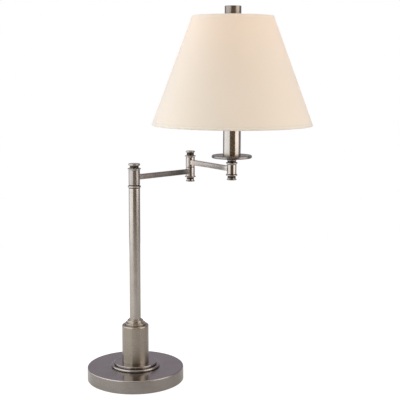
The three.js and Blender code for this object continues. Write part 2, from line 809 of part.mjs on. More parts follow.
/** The knob's stem runs into the socket core; the knob has grip ribs around it. */
function switchKnob() {
  const ribs = 12;
  const outline = new THREE.Shape();
  for (let i = 0; i < 2 * ribs; i += 1) {
    const radius = i % 2 === 0 ? KNOB_RADIUS : KNOB_RADIUS - 0.6;
    const angle = Math.PI * i / ribs;
    const place = [radius * Math.cos(angle), radius * Math.sin(angle)];
    if (i === 0) {
      outline.moveTo(...place);
    } else {
      outline.lineTo(...place);
    }
  }
  outline.closePath();
  const grip = new THREE.ExtrudeGeometry(outline, {
    depth: KNOB_LENGTH - 2,
    steps: 1,
    bevelThickness: 1,
    bevelSize: 0.5,
    bevelOffset: -0.5,
    bevelSegments: 1,
  });
  const start = SOCKET_RADIUS + 5;
  grip.rotateX(Math.PI / 2).translate(0, -start, SWITCH_Z);
  const stem = crossCylinder(STEM_RADIUS, 'y', -start - 4, -8, SWITCH_Z);
  return join(grip, stem);
}

/** The threaded shell that the bulb screws into, with one coarse rounded thread per step. */
function screwShell() {
  const wall = 0.5;
  const pitch = 4.6;
  const turns = 3;
  const low = CORE_HIGH - 3 + GAP;
  const outside = [[SCREW_RADIUS - 0.6, low]];
  const inside = [[SCREW_RADIUS - 0.6 - wall, low]];
  for (let i = 0; i < turns; i += 1) {
    const z = low + (i + 0.5) * pitch;
    outside.push([SCREW_RADIUS, z], [SCREW_RADIUS - 0.6, z + pitch / 2]);
    inside.unshift([SCREW_RADIUS - wall, z]);
    inside.unshift([SCREW_RADIUS - 0.6 - wall, z + pitch / 2]);
  }
  return turned([inside[inside.length - 1], ...outside, ...inside], NARROW);
}

function bulbBase() {
  const radius = SCREW_RADIUS - 0.6 - 0.5 - GAP;
  const low = BULB_BASE_BOTTOM;
  const cup = radius - 0.8;
  return turned([
    [0, low],
    [3.4, low],
    [3.8, low + 1.4],
    [8.6, low + 3.6],
    [radius, low + 5.4],
    [radius, BULB_BASE_TOP - 4],
    [radius + 0.6, BULB_BASE_TOP],
    [cup + 0.6, BULB_BASE_TOP],
    [cup, BULB_BASE_TOP - 5],
    [0, BULB_BASE_TOP - 5],
  ]);
}

/** A pear-shaped hollow bulb, open at its neck. */
function bulbGlass() {
  const wall = 0.8;
  const neck = SCREW_RADIUS - 0.6 - 0.5 - GAP - 0.8 - GAP;
  const neckLow = BULB_BASE_TOP - 4.6;
  const ball = BULB_TOP - BULB_RADIUS;
  const steps = 5;
  const outline = (inset) => [
    [neck - inset, neckLow],
    [neck - inset, BULB_BASE_TOP + 4],
    [neck + 2.6 - inset, BULB_BASE_TOP + 13],
    [neck + 8.4 - inset, BULB_BASE_TOP + 26],
    ...corner(0, ball, BULB_RADIUS - inset, -32, 88, steps),
  ];
  return turned([
    [neck - wall, neckLow],
    ...outline(0),
    [0, BULB_TOP],
    [0, BULB_TOP - wall],
    ...outline(wall).reverse(),
  ]);
}

add(end, 'socket_cap', socketCap(), BRASS);
add(end, 'socket_shell', socketShell(), BRASS);
add(end, 'socket_liner', socketLiner(), CARD);
add(end, 'socket_core', socketCore(), PLASTIC);
add(end, 'switch_knob', switchKnob(), PLASTIC);
add(end, 'screw_shell', screwShell(), BRASS);
add(end, 'bulb_base', bulbBase(), STEEL);
add(end, 'bulb_glass', bulbGlass(), GLASS);

// ---- harp ---------------------------------------------------------------

/** A bent strip with an upright post at each end, clamped between candle cap and socket. */
function harpSaddle() {
  const t = SADDLE_THICKNESS;
  const low = CANDLE_TOP;
  const shoulder = 15;
  const strip = new THREE.Shape();
  strip.moveTo(-shoulder, low);
  strip.lineTo(shoulder, low);
  strip.lineTo(SADDLE_SPAN - t / 2 + 0.8, low + 5);
  strip.lineTo(SADDLE_SPAN + t / 2, low + 7);
  strip.lineTo(SADDLE_SPAN + t / 2, POST_TOP);
  strip.lineTo(SADDLE_SPAN - t / 2, POST_TOP);
  strip.lineTo(SADDLE_SPAN - t / 2, low + 7.4);
  strip.lineTo(shoulder - 0.6, low + t);
  strip.lineTo(-shoulder + 0.6, low + t);
  strip.lineTo(-SADDLE_SPAN + t / 2, low + 7.4);
  strip.lineTo(-SADDLE_SPAN + t / 2, POST_TOP);
  strip.lineTo(-SADDLE_SPAN - t / 2, POST_TOP);
  strip.lineTo(-SADDLE_SPAN - t / 2, low + 7);
  strip.lineTo(-SADDLE_SPAN + t / 2 - 0.8, low + 5);
  strip.closePath();
  const width = SADDLE_WIDTH / 2;
  const bent = new THREE.ExtrudeGeometry(strip, { depth: SADDLE_WIDTH, bevelEnabled: false });
  bent.rotateX(Math.PI / 2).translate(0, width, 0);
  const postWidth = 2.2;
  const trims = [];
  for (const side of [-1, 1]) {
    for (const edge of [-1, 1]) {
      const x = [side * (SADDLE_SPAN - 3), side * (SADDLE_SPAN + 3)].sort((a, b) => a - b);
      const y = [edge * postWidth, edge * (width + 1)].sort((a, b) => a - b);
      trims.push(box([x[0], y[0], low + 9], [x[1], y[1], POST_TOP + 1]));
    }
  }
  const hole = solid([[PIPE_HOLE, low - 1], [PIPE_HOLE, low + t + 1]], SMALL);
  return cut(bent, hole, ...trims);
}

/** The harp's wire, from one post up around the bulb and down to the other post. */
function harpWire() {
  const foot = POST_TOP + GAP;
  const half = [
    [SADDLE_SPAN, foot],
    [SADDLE_SPAN, foot + 11],
    [SADDLE_SPAN + 5, foot + 21],
    [HARP_WIDEST - 3, foot + 44],
    [HARP_WIDEST, foot + 72],
    [HARP_WIDEST - 2.5, foot + 100],
    [HARP_WIDEST - 12, foot + 128],
    [28, HARP_TOP - 8],
    [14, HARP_TOP - 0.6],
  ];
  const right = half.map(([x, z]) => V3(x, 0, z));
  const left = half.map(([x, z]) => V3(-x, 0, z)).reverse();
  const route = new THREE.CatmullRomCurve3([...right, V3(0, 0, HARP_TOP), ...left], false, 'centripetal');
  return rod(route, HARP_WIRE_RADIUS, 44, 6);
}

/** A sleeve that locks a harp leg to its post. It slides up the leg to free it. */
function harpFerrule(side) {
  const low = POST_TOP - FERRULE_LENGTH + 4;
  return bored([
    [3.9, low],
    [4.2, low + 0.6],
    [4.2, low + FERRULE_LENGTH - 0.6],
    [3.9, low + FERRULE_LENGTH],
  ], 3, SMALL).translate(side * SADDLE_SPAN, 0, 0);
}

add(end, 'harp_saddle', harpSaddle(), BRASS);
add(end, 'harp_wire', harpWire(), BRASS);
add(end, 'harp_ferrule_left', harpFerrule(-1), BRASS);
add(end, 'harp_ferrule_right', harpFerrule(1), BRASS);

// ---- shade --------------------------------------------------------------

const SLOPE = (SHADE_BOTTOM_RADIUS - SHADE_TOP_RADIUS) / (SHADE_TOP - SHADE_BOTTOM);
const paperRadius = (z) => SHADE_TOP_RADIUS + (SHADE_TOP - z) * SLOPE;
const RING_INSET = PAPER + GAP + RING_WIRE * Math.hypot(1, SLOPE);

function shadePaper() {
  return turned([
    [SHADE_BOTTOM_RADIUS - PAPER, SHADE_BOTTOM],
    [SHADE_BOTTOM_RADIUS, SHADE_BOTTOM],
    [SHADE_TOP_RADIUS, SHADE_TOP],
    [SHADE_TOP_RADIUS - PAPER, SHADE_TOP],
    [SHADE_BOTTOM_RADIUS - PAPER, SHADE_BOTTOM],
  ], WIDE);
}

/** A wire ring just inside the paper at a height. */
function wireRing(z, facets) {
  const radius = paperRadius(z) * Math.cos(Math.PI / WIDE) - RING_INSET;
  const ring = corner(radius, z, RING_WIRE, 0, 360, 6);
  ring[ring.length - 1] = ring[0];
  return turned(ring, facets);
}

const TOP_RING_Z = SHADE_TOP - RING_WIRE - 0.2;
const BOTTOM_RING_Z = SHADE_BOTTOM + RING_WIRE + 0.2;
const TOP_RING_RADIUS = paperRadius(TOP_RING_Z) - RING_INSET;

/** The hub washer and arms that hang the shade from its top ring. */
function shadeSpider() {
  const thickness = 1.5;
  const hub = bored([
    [11, SPIDER_HUB_Z],
    [11, SPIDER_HUB_Z + thickness],
  ], 3.5, NARROW);
  const reach = TOP_RING_RADIUS - RING_WIRE - GAP - 0.6;
  const arms = [];
  for (let i = 0; i < SPIDER_ARMS; i += 1) {
    const route = new THREE.CatmullRomCurve3([
      V3(9.4, 0, SPIDER_HUB_Z + thickness / 2),
      V3(26, 0, SPIDER_HUB_Z + thickness / 2),
      V3(44, 0, SPIDER_HUB_Z + 2),
      V3(60, 0, TOP_RING_Z - 1.2),
      V3(reach, 0, TOP_RING_Z),
    ]);
    arms.push(rod(route, 1.4, 8, 6).rotateZ(radians(90 + 360 * i / SPIDER_ARMS)));
  }
  return join(hub, ...arms);
}

/** The swivel stud on top of the harp: a shoulder under the spider and a screw for the finial. */
function harpStud() {
  const low = HARP_TOP + HARP_WIRE_RADIUS + GAP;
  return solid([
    [4.4, low],
    [5.6, low + 0.6],
    [5.6, SPIDER_HUB_Z - GAP],
    [3, SPIDER_HUB_Z - GAP],
    [3, FINIAL_BOTTOM + 13],
    [2.4, FINIAL_BOTTOM + 13.6],
  ], SMALL);
}

/** A plain cylinder finial with a narrow collar under it. */
function shadeFinial() {
  const collar = 2;
  const edge = 0.8;
  const body = [
    [8.5, FINIAL_BOTTOM],
    [8.5, FINIAL_BOTTOM + collar],
    ...corner(FINIAL_RADIUS - edge, FINIAL_BOTTOM + collar + edge, edge, -90, 0),
    ...corner(FINIAL_RADIUS - edge, FINIAL_TOP - edge, edge, 0, 90),
  ];
  return blindBored(body, FINIAL_BOTTOM + 15, 3 + GAP, MIDDLE);
}

add(end, 'shade_paper', shadePaper(), SHADE_PAPER);
add(end, 'shade_top_ring', wireRing(TOP_RING_Z, WIDE), STEEL);
add(end, 'shade_bottom_ring', wireRing(BOTTOM_RING_Z, WIDE), STEEL);
add(end, 'shade_spider', shadeSpider(), BRASS);
add(end, 'harp_stud', harpStud(), BRASS);
add(end, 'shade_finial', shadeFinial(), NICKEL);

export default lamp;
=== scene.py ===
"""A swing-arm table lamp in antique nickel with a paper shade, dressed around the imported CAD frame.

Metres, +Z up, in the frame of the CAD model. The faceted CAD pieces that show are replaced by
round ones with the same sizes, read from the frame; hidden pieces only get better materials.
"""

import json
import math

import bpy
from mathutils import Matrix, Vector


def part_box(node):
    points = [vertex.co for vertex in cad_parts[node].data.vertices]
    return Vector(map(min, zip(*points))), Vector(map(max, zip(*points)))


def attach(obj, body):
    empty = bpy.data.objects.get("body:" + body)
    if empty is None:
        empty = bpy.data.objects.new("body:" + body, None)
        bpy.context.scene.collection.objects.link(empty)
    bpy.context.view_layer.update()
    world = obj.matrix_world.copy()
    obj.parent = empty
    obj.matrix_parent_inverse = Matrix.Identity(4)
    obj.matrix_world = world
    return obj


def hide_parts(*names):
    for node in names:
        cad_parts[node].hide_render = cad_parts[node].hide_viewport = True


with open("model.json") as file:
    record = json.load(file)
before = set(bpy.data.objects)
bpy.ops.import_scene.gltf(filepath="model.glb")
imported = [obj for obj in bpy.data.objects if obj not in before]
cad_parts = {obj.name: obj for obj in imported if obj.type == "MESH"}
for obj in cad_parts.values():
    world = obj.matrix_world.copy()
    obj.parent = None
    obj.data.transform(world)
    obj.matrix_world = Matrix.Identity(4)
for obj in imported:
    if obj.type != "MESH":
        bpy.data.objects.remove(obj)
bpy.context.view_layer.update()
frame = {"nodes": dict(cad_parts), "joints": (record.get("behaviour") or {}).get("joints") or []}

MM = 0.001
PIPE_BORE = 5.2 * MM  # the hole in pieces round the rod, the spindle or the end pipe
NODES = frame["nodes"]
JOINTS = {joint["name"]: joint for joint in frame["joints"]}
POLE = Vector(JOINTS["head_swivel"]["pos_m"])
ELBOW = Vector(JOINTS["elbow_swivel"]["pos_m"])
END = Vector(JOINTS["shade_turn"]["pos_m"])
SWITCH = Vector(JOINTS["switch_turn"]["pos_m"])
SWITCH_AXIS = Vector(JOINTS["switch_turn"]["axis"]).normalized()

# ---- places read from the frame ----


def span(node):
    """The lowest and highest z of a CAD node."""
    low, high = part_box(node)
    return low.z, high.z


def extent(node, axis):
    """The lowest and highest z of a CAD node, and its largest distance from an upright axis."""
    return *span(node), max(math.hypot(v.co.x - axis.x, v.co.y - axis.y) for v in NODES[node].data.vertices)


def add_object(name, data):
    """An object with this data, in the scene."""
    made = bpy.data.objects.new(name, data)
    bpy.context.scene.collection.objects.link(made)
    return made


# ---- camera ----


def add_camera():
    """A long lens a little above the lamp's middle, turned slightly to the right."""
    data = bpy.data.cameras.new("camera")
    data.sensor_width = 36
    data.lens = 82.16
    data.clip_start = 0.05
    camera = add_object("camera", data)
    camera.location = (0.0045, -1.7551, 0.6173)
    pitch_down, turn_right, roll = math.radians(8.383), math.radians(4.003), math.radians(0.201)
    look = Matrix.Rotation(-turn_right, 4, "Z") @ Matrix.Rotation(math.pi / 2 - pitch_down, 4, "X")
    camera.rotation_euler = (look @ Matrix.Rotation(roll, 4, "Z")).to_euler()
    bpy.context.scene.camera = camera


add_camera()

# ---- node helpers ----


class Graph:
    """The node tree of a new material, or of a world, with short calls for the nodes used here."""

    def __init__(self, name, world=None):
        self.material = world or bpy.data.materials.new(name)
        self.material.use_nodes = True
        self.tree = self.material.node_tree
        self.tree.nodes.clear()
        self.output = self.add("OutputWorld" if world else "OutputMaterial")

    def add(self, kind, inputs=None, **settings):
        """Adds a node. inputs maps a socket's name or number to a value or another socket."""
        made = self.tree.nodes.new("ShaderNode" + kind)
        for key, value in settings.items():
            setattr(made, key, value)
        for key, value in (inputs or {}).items():
            self.fill(made.inputs[key], value)
        return made

    def fill(self, socket, value):
        if isinstance(value, bpy.types.NodeSocket):
            self.tree.links.new(value, socket)
        else:
            socket.default_value = value

    def show(self, shader):
        """Links a shader to the output."""
        self.tree.links.new(shader.outputs[0], self.output.inputs["Surface"])

    def math(self, operation, a, b=0.0):
        return self.add("Math", {0: a, 1: b}, operation=operation).outputs[0]

    def mix(self, factor, a, b):
        """A colour between a and b."""
        return self.add("Mix", {0: factor, 6: a, 7: b}, data_type="RGBA").outputs[2]

    def noise(self, vector, scale, detail=3.0, roughness=0.5):
        inputs = {"Vector": vector, "Scale": scale, "Detail": detail, "Roughness": roughness}
        return self.add("TexNoise", inputs).outputs[0]

    def remap(self, value, low, high, new_low=0.0, new_high=1.0):
        inputs = {0: value, 1: low, 2: high, 3: new_low, 4: new_high}
        return self.add("MapRange", inputs, clamp=True).outputs[0]

    def place(self):
        """The object's own coordinates, as a vector socket."""
        return self.add("TexCoord").outputs["Object"]

    def parts(self, vector):
        """The three numbers of a vector."""
        return self.add("SeparateXYZ", {0: vector}).outputs

    def scaled(self, vector, x, y, z):
        return self.add("VectorMath", {0: vector, 1: (x, y, z)}, operation="MULTIPLY").outputs[0]

    def bump(self, height, distance, strength=1.0, **below):
        """A normal. below may hold Normal, the normal to start from."""
        inputs = {"Height": height, "Distance": distance, "Strength": strength, **below}
        return self.add("Bump", inputs).outputs[0]

    def principled(self, **sockets):
        """The shader. Its sockets are given by name with _ for a space."""
        shader = self.add("BsdfPrincipled", {key.replace("_", " "): value for key, value in sockets.items()})
        self.show(shader)
        return shader

    def blend(self, factor, a, b):
        """Shows a mix of two shaders."""
        self.show(self.add("MixShader", {0: factor, 1: a.outputs[0], 2: b.outputs[0]}))


def rgb(red, green, blue):
    return (red, green, blue, 1.0)


def turned_grooves(graph, fineness):
    """Fine lines that run round the object's Z axis, from 0 to 1, with no seam."""
    x, y, z = graph.parts(graph.place())
    flat = graph.add("CombineXYZ", {0: x, 1: y, 2: 0.0}).outputs[0]
    radius = graph.add("VectorMath", {0: flat}, operation="LENGTH").outputs["Value"]
    angle = graph.math("ARCTAN2", y, x)
    vector = graph.add("CombineXYZ", {
        0: graph.math("MULTIPLY", radius, fineness),
        1: graph.math("MULTIPLY", z, fineness),
        2: graph.math("COSINE", angle),
    }).outputs[0]
    inputs = {"Vector": vector, "W": graph.math("SINE", angle), "Scale": 1.0, "Detail": 3.0, "Roughness": 0.6}
    return graph.add("TexNoise", inputs, noise_dimensions="4D").outputs[0]


def lengthwise_grooves(graph, fineness):
    """Fine lines along the object's X axis."""
    return graph.noise(graph.scaled(graph.place(), 12.0, fineness, fineness), 1.0, 3.0, 0.6)


# ---- materials ----

NICKEL_BODY = rgb(0.35, 0.322, 0.292)
NICKEL_TARNISH = rgb(0.24, 0.205, 0.17)
NICKEL_WORN = rgb(0.55, 0.51, 0.47)
# Painted shade: the colour a bar darkens to towards its far end.
NICKEL_FAR_END_SHADE = rgb(0.09, 0.085, 0.08)


def antique_nickel(name, tint=(1, 1, 1), roughness=0.2, fineness=900.0, stretch=0.6, polish=0.0, bar=False):
    """Dark satin plate: fine brushing, soft brown tarnish, dull hollows and paler worn edges.

    The brushing runs round a turned piece and along a bar. A bar is painted darker towards its far
    end, as painted shade. polish makes the faces that look up smoother than the rest.
    """
    graph = Graph(name)
    grooves = lengthwise_grooves(graph, fineness) if bar else turned_grooves(graph, fineness)
    tangent = graph.add("Tangent", direction_type="RADIAL", axis="X" if bar else "Z").outputs[0]
    patches = graph.noise(graph.place(), 30.0)
    mottle = graph.remap(graph.noise(graph.place(), 120.0, 2.0), 0.3, 0.7, 0.7, 1.0)
    tarnish = graph.math("MULTIPLY", graph.remap(patches, 0.40, 0.70), mottle)
    edge = graph.add("NewGeometry").outputs["Pointiness"]
    hollow = graph.remap(edge, 0.5, 0.44, 0.0, 0.75)
    worn = graph.remap(edge, 0.515, 0.58, 0.0, 0.8)
    body, dull, bare, far_end_shade = (
        rgb(*(c * t for c, t in zip(colour, tint)))
        for colour in (NICKEL_BODY, NICKEL_TARNISH, NICKEL_WORN, NICKEL_FAR_END_SHADE)
    )
    colour = graph.mix(graph.math("MULTIPLY", tarnish, 0.35), body, dull)
    colour = graph.mix(graph.remap(grooves, 0.3, 0.75, 0.0, 0.3 if bar else 0.12), colour, dull)
    if bar:
        # Painted shade: a bar darkens towards its far end.
        far = graph.parts(graph.place())[0]
        colour = graph.mix(graph.remap(far, 0.03, 0.13, 0.0, 0.92), colour, far_end_shade)
    colour = graph.mix(hollow, colour, dull)
    colour = graph.mix(worn, colour, bare)
    rough = graph.math("ADD", graph.remap(grooves, 0.25, 0.75, -0.015, 0.015), roughness)
    rough = graph.math("ADD", rough, graph.remap(tarnish, 0.0, 1.0, 0.0, 0.06))
    if polish:
        upward = graph.parts(graph.add("TexCoord").outputs["Normal"])[2]
        rough = graph.math("ADD", rough, graph.remap(upward, 0.6, 0.95, 0.0, -polish))
    normal = graph.bump(patches, 0.02 * MM, 0.5, Normal=graph.bump(grooves, 0.0009 * MM))
    graph.principled(
        Base_Color=colour, Metallic=1.0, Roughness=rough, Normal=normal, Tangent=tangent,
        Anisotropic=stretch, Anisotropic_Rotation=0.0 if bar else 0.25,
    )
    return graph.material


def plain_metal(name, body, shade, roughness, fineness=1800.0):
    """Plated or drawn metal: faint turned lines, cloudy patches and a few dark specks."""
    graph = Graph(name)
    grooves = turned_grooves(graph, fineness)
    clouds = graph.noise(graph.place(), 60.0)
    specks = graph.remap(graph.noise(graph.place(), 900.0, 1.0), 0.70, 0.76)
    colour = graph.mix(graph.remap(clouds, 0.35, 0.7, 0.0, 0.5), body, shade)
    colour = graph.mix(graph.math("MULTIPLY", specks, 0.6), colour, shade)
    rough = graph.math("ADD", graph.remap(clouds, 0.3, 0.7, -0.05, 0.07), roughness)
    graph.principled(Base_Color=colour, Metallic=1.0, Roughness=rough, Normal=graph.bump(grooves, 0.01 * MM))
    return graph.material


def cast_metal(name):
    """Dark cast iron with a coarse grain."""
    graph = Graph(name)
    grain = graph.noise(graph.place(), 700.0, 4.0, 0.65)
    colour = graph.mix(grain, rgb(0.03, 0.03, 0.032), rgb(0.09, 0.085, 0.08))
    graph.principled(Base_Color=colour, Metallic=0.6, Roughness=0.75, Normal=graph.bump(grain, 0.25 * MM))
    return graph.material


def felt(name):
    """Pressed wool: short fibres in all directions, uneven dye, soft at grazing angles."""
    graph = Graph(name)
    place = graph.place()
    fibres = graph.noise(graph.scaled(place, 1.0, 0.35, 1.0), 1900.0, 5.0, 0.7)
    cross = graph.noise(graph.scaled(place, 0.3, 1.0, 1.0), 1700.0, 5.0, 0.7)
    nap = graph.math("MAXIMUM", fibres, cross)
    dye = graph.noise(place, 45.0)
    colour = graph.mix(graph.remap(nap, 0.4, 0.75), rgb(0.016, 0.022, 0.019), rgb(0.055, 0.07, 0.06))
    colour = graph.mix(graph.remap(dye, 0.3, 0.7, 0.0, 0.4), colour, rgb(0.03, 0.04, 0.034))
    graph.principled(
        Base_Color=colour, Roughness=0.95, Normal=graph.bump(nap, 0.35 * MM),
        Sheen_Weight=0.5, Sheen_Roughness=0.4,
    )
    return graph.material


def moulded(name, dark, pale, roughness, grain=900.0):
    """Moulded plastic or card with a fine even grain and faint smears."""
    graph = Graph(name)
    texture = graph.noise(graph.place(), grain, 3.0, 0.6)
    smears = graph.noise(graph.place(), 55.0, 3.0, 0.6)
    colour = graph.mix(graph.remap(texture, 0.35, 0.7, 0.0, 0.6), dark, pale)
    rough = graph.math("ADD", graph.remap(smears, 0.3, 0.7, -0.08, 0.1), roughness)
    graph.principled(Base_Color=colour, Roughness=rough, Normal=graph.bump(texture, 0.03 * MM))
    return graph.material


def shade_paper(name, tint=1.0):
    """Cream paper with long and short fibres and soft cloudiness. It lets some warm light through."""
    graph = Graph(name)
    place = graph.place()
    clouds = graph.noise(place, 14.0)
    flecks = graph.noise(graph.scaled(place, 1.0, 1.0, 0.22), 620.0, 4.0, 0.7)
    hairs = graph.noise(graph.scaled(place, 0.25, 0.25, 1.0), 480.0, 5.0, 0.75)
    fibre = graph.math("MULTIPLY", graph.math("ADD", flecks, hairs), 0.5)
    pale = rgb(0.75 * tint, 0.735 * tint, 0.67 * tint)
    deep = rgb(0.725 * tint, 0.695 * tint, 0.61 * tint)
    colour = graph.mix(graph.remap(fibre, 0.38, 0.62, 0.0, 0.5), pale, deep)
    colour = graph.mix(graph.remap(clouds, 0.35, 0.65, 0.0, 0.25), colour, deep)
    normal = graph.bump(fibre, 0.04 * MM)
    shader = graph.principled(
        Base_Color=colour, Roughness=0.7, Normal=normal,
        Sheen_Weight=1.0, Sheen_Roughness=0.6, Sheen_Tint=rgb(0.88, 0.97, 1.0),
    )
    warm = graph.mix(0.75, colour, rgb(0.92, 0.565, 0.08))
    through = graph.add("BsdfTranslucent", {"Color": warm, "Normal": normal})
    graph.blend(0.35, shader, through)
    return graph.material


def frosted_bulb(name):
    """Soft white glass: an even powder coat inside a clear skin."""
    graph = Graph(name)
    powder = graph.noise(graph.place(), 260.0)
    colour = graph.mix(graph.remap(powder, 0.3, 0.7), rgb(0.90, 0.885, 0.85), rgb(0.94, 0.93, 0.905))
    graph.principled(
        Base_Color=colour, Roughness=0.35, Normal=graph.bump(powder, 0.01 * MM),
        Coat_Weight=0.8, Coat_Roughness=0.04, Subsurface_Weight=0.2,
    )
    return graph.material


NICKEL = antique_nickel("antique_nickel")
# Painted shade: a darker copy of the plate, with a satin roughness, for the base, the foot, the pivot button
# and the head knuckle.
NICKEL_SATIN_SHADED = antique_nickel("antique_nickel_satin_painted_shade", (0.84, 0.83, 0.85), 0.27, 700.0, polish=0.09)
# Painted shade: a darker, browner copy of the plate for the lower sleeve and its stepped cap.
NICKEL_SLEEVE_SHADED = antique_nickel("antique_nickel_sleeve_painted_shade", (0.86, 0.82, 0.76), 0.27, 700.0)
NICKEL_SMALL = antique_nickel("antique_nickel_fittings", (0.98, 0.97, 0.98), 0.16)
# Painted shade: a darker, rougher copy of the plate for the finial.
NICKEL_FINIAL_SHADED = antique_nickel("antique_nickel_dull_painted_shade", (0.64, 0.61, 0.60), 0.33)
# Painted shade and painted light: the first bar is a much darker copy of the plate and the second a brighter
# one.
NICKEL_BAR_1_SHADED = antique_nickel("antique_nickel_bar_painted_shade", (0.39, 0.38, 0.38), 0.26, stretch=0.8, bar=True)
NICKEL_BAR_2_LIT = antique_nickel("antique_nickel_bar_painted_light", (1.42, 1.385, 1.33), 0.26, stretch=0.8, bar=True)
# Painted shade and painted reflection: a darker, bluish copy of the plate for the dish, like the grey room
# reflected in it.
NICKEL_DISH_SHADED = antique_nickel("antique_nickel_dish_painted_shade", (0.64, 0.66, 0.71), 0.3, 500.0)
# Painted shade: a nearly black copy of the plate for necks, grooves, the dish's underside and a washer, where
# shade falls.
NICKEL_PAINTED_SHADE = antique_nickel("antique_nickel_painted_recess_shade", (0.14, 0.135, 0.13), 0.36)
HARP_METAL = plain_metal("nickel_wire", rgb(0.60, 0.58, 0.55), rgb(0.42, 0.39, 0.35), 0.28)
STEEL = plain_metal("zinc_steel", rgb(0.55, 0.55, 0.56), rgb(0.33, 0.33, 0.34), 0.42)
BRASS = plain_metal("brass", rgb(0.78, 0.60, 0.30), rgb(0.50, 0.34, 0.15), 0.27)
LAMP_BASE = plain_metal("bulb_base_metal", rgb(0.72, 0.72, 0.70), rgb(0.5, 0.49, 0.47), 0.3)
IRON = cast_metal("cast_iron")
FELT = felt("felt")
PHENOLIC = moulded("phenolic", rgb(0.012, 0.011, 0.010), rgb(0.03, 0.027, 0.025), 0.34)
VINYL = moulded("vinyl_lead", rgb(0.10, 0.065, 0.03), rgb(0.20, 0.14, 0.07), 0.45)
CARD = moulded("fibre_card", rgb(0.10, 0.07, 0.045), rgb(0.22, 0.16, 0.10), 0.8, 500.0)
PAPER = shade_paper("shade_paper")
# Painted light: a lighter copy of the paper for the trim bands.
PAPER_TRIM_LIT = shade_paper("shade_paper_trim_painted_light", 1.05)
# Painted shade: a darker copy of the paper for a thin line above the bottom trim.
PAPER_SHADE_LINE = shade_paper("shade_paper_painted_shade_line", 0.92)
BULB = frosted_bulb("frosted_bulb")

# ---- shape helpers ----

SHARP = math.radians(38)  # two faces that meet at more than this angle don't shade as one


def rounded(points, steps=6):
    """An outline with rounded corners. A point is (radius, z) or (radius, z, rounding)."""
    made = []
    for i, point in enumerate(points):
        here = Vector(point[:2])
        size = point[2] if len(point) > 2 else 0.0
        if size <= 0 or i in (0, len(points) - 1):
            made.append(tuple(here))
            continue
        before, after = Vector(points[i - 1][:2]) - here, Vector(points[i + 1][:2]) - here
        turn = before.angle(after)
        reach = min(size / math.tan(turn / 2), 0.48 * before.length, 0.48 * after.length)
        start, stop = here + before.normalized() * reach, here + after.normalized() * reach
        for k in range(steps + 1):
            t = k / steps
            made.append(tuple(start * (1 - t) ** 2 + here * 2 * t * (1 - t) + stop * t * t))
    return made


def arc(radius, z, size, start, stop, steps=12):
    """Points of an arc in an outline; degrees, 0 pointing away from the axis."""
    angles = [math.radians(start + (stop - start) * k / steps) for k in range(steps + 1)]
    return [(radius + size * math.cos(a), z + size * math.sin(a)) for a in angles]


def turns(count):
    """Even steps of one turn, in radians."""
    return [2 * math.pi * k / count for k in range(count)]


def skin(loops, ends, clockwise=False):
    """The points and faces of a surface that joins loops of points one after the other.

    A loop of one point is a tip. ends is "open", "capped" for a flat face on each end, or "joined" for a
    last loop that meets the first. The loops run anticlockwise as seen from the last one, or clockwise.
    """
    points, rings = [], []
    sides = max(len(loop) for loop in loops)
    for loop in loops:
        first = len(points)
        rings.append([first] * sides if len(loop) == 1 else list(range(first, first + sides)))
        points += loop
    faces = [rings[0][::-1], rings[-1]] if ends == "capped" else []
    if ends == "joined":
        rings.append(rings[0])
    for low, high in zip(rings, rings[1:]):
        for s in range(sides):
            t = (s + 1) % sides
            face = list(dict.fromkeys([low[s], low[t], high[t], high[s]]))
            if len(face) > 2:
                faces.append(face)
    if clockwise:
        faces = [face[:1] + face[:0:-1] for face in faces]
    return points, faces


def new_mesh(name, points, faces):
    mesh = bpy.data.meshes.new(name)
    mesh.from_pydata(points, [], faces)
    return mesh


def finished(name, points, faces, material, body, matrix, replaced):
    """Makes a smooth piece from points around its own origin, sets it down and rides it on a body."""
    mesh = new_mesh(name, points, faces)
    mesh.materials.append(material)
    mesh.polygons.foreach_set("use_smooth", [True] * len(mesh.polygons))
    mesh.update()
    mesh.set_sharp_from_angle(angle=SHARP)
    piece = add_object(name, mesh)
    piece.matrix_world = matrix
    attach(piece, body)
    if replaced:
        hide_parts(*replaced)
    return piece


def supported(outline):
    """Adds points to an outline's long stretches: close to both ends, and at even steps between."""
    made = [outline[0]]
    for here, there in zip(outline, outline[1:]):
        start, stop = Vector(here), Vector(there)
        length = (stop - start).length
        if length > 2.4 * MM:
            near = 0.7 * MM / length
            steps = max(1, round((length - 1.4 * MM) / (9 * MM)))
            made += [tuple(start.lerp(stop, near + (1 - 2 * near) * k / steps)) for k in range(steps + 1)]
        made.append(there)
    return made


def lathe(name, outline, axis, material, body, replaced=(), segments=96, ripple=None, bands=(), matrix=None):
    """A turned piece. The outline goes up the outside, from axis to axis or back to its start.

    ripple(angle, radius, z), if given, returns the radius to use instead. bands holds
    (low z, high z, smallest radius, material) for parts of the surface with another finish.
    A piece that isn't upright has a matrix, which sets down the outline's lowest point, and no axis.
    """
    closed = (Vector(outline[0]) - Vector(outline[-1])).length < 1e-7
    outline = supported(outline)[:-1 if closed else None]
    base = min(z for _, z in outline)
    loops = []
    for radius, z in outline:
        loop = [(0.0, 0.0, z - base)]
        if radius > 1e-6:
            sizes = [(a, ripple(a, radius, z) if ripple else radius) for a in turns(segments)]
            loop = [(r * math.cos(a), r * math.sin(a), z - base) for a, r in sizes]
        loops.append(loop)
    points, faces = skin(loops, "joined" if closed else "open")
    matrix = matrix or Matrix.Translation((axis.x, axis.y, base))
    piece = finished(name, points, faces, material, body, matrix, replaced)
    for low, high, least, other in bands:
        piece.data.materials.append(other)
        for face in piece.data.polygons:
            z = face.center.z + base
            if low < z < high and math.hypot(face.center.x, face.center.y) > least:
                face.material_index = len(piece.data.materials) - 1
    return piece


def ring_outline(outline, bore):
    """Closes an outside outline along a straight bore."""
    return [(bore, outline[0][1])] + outline + [(bore, outline[-1][1]), (bore, outline[0][1])]


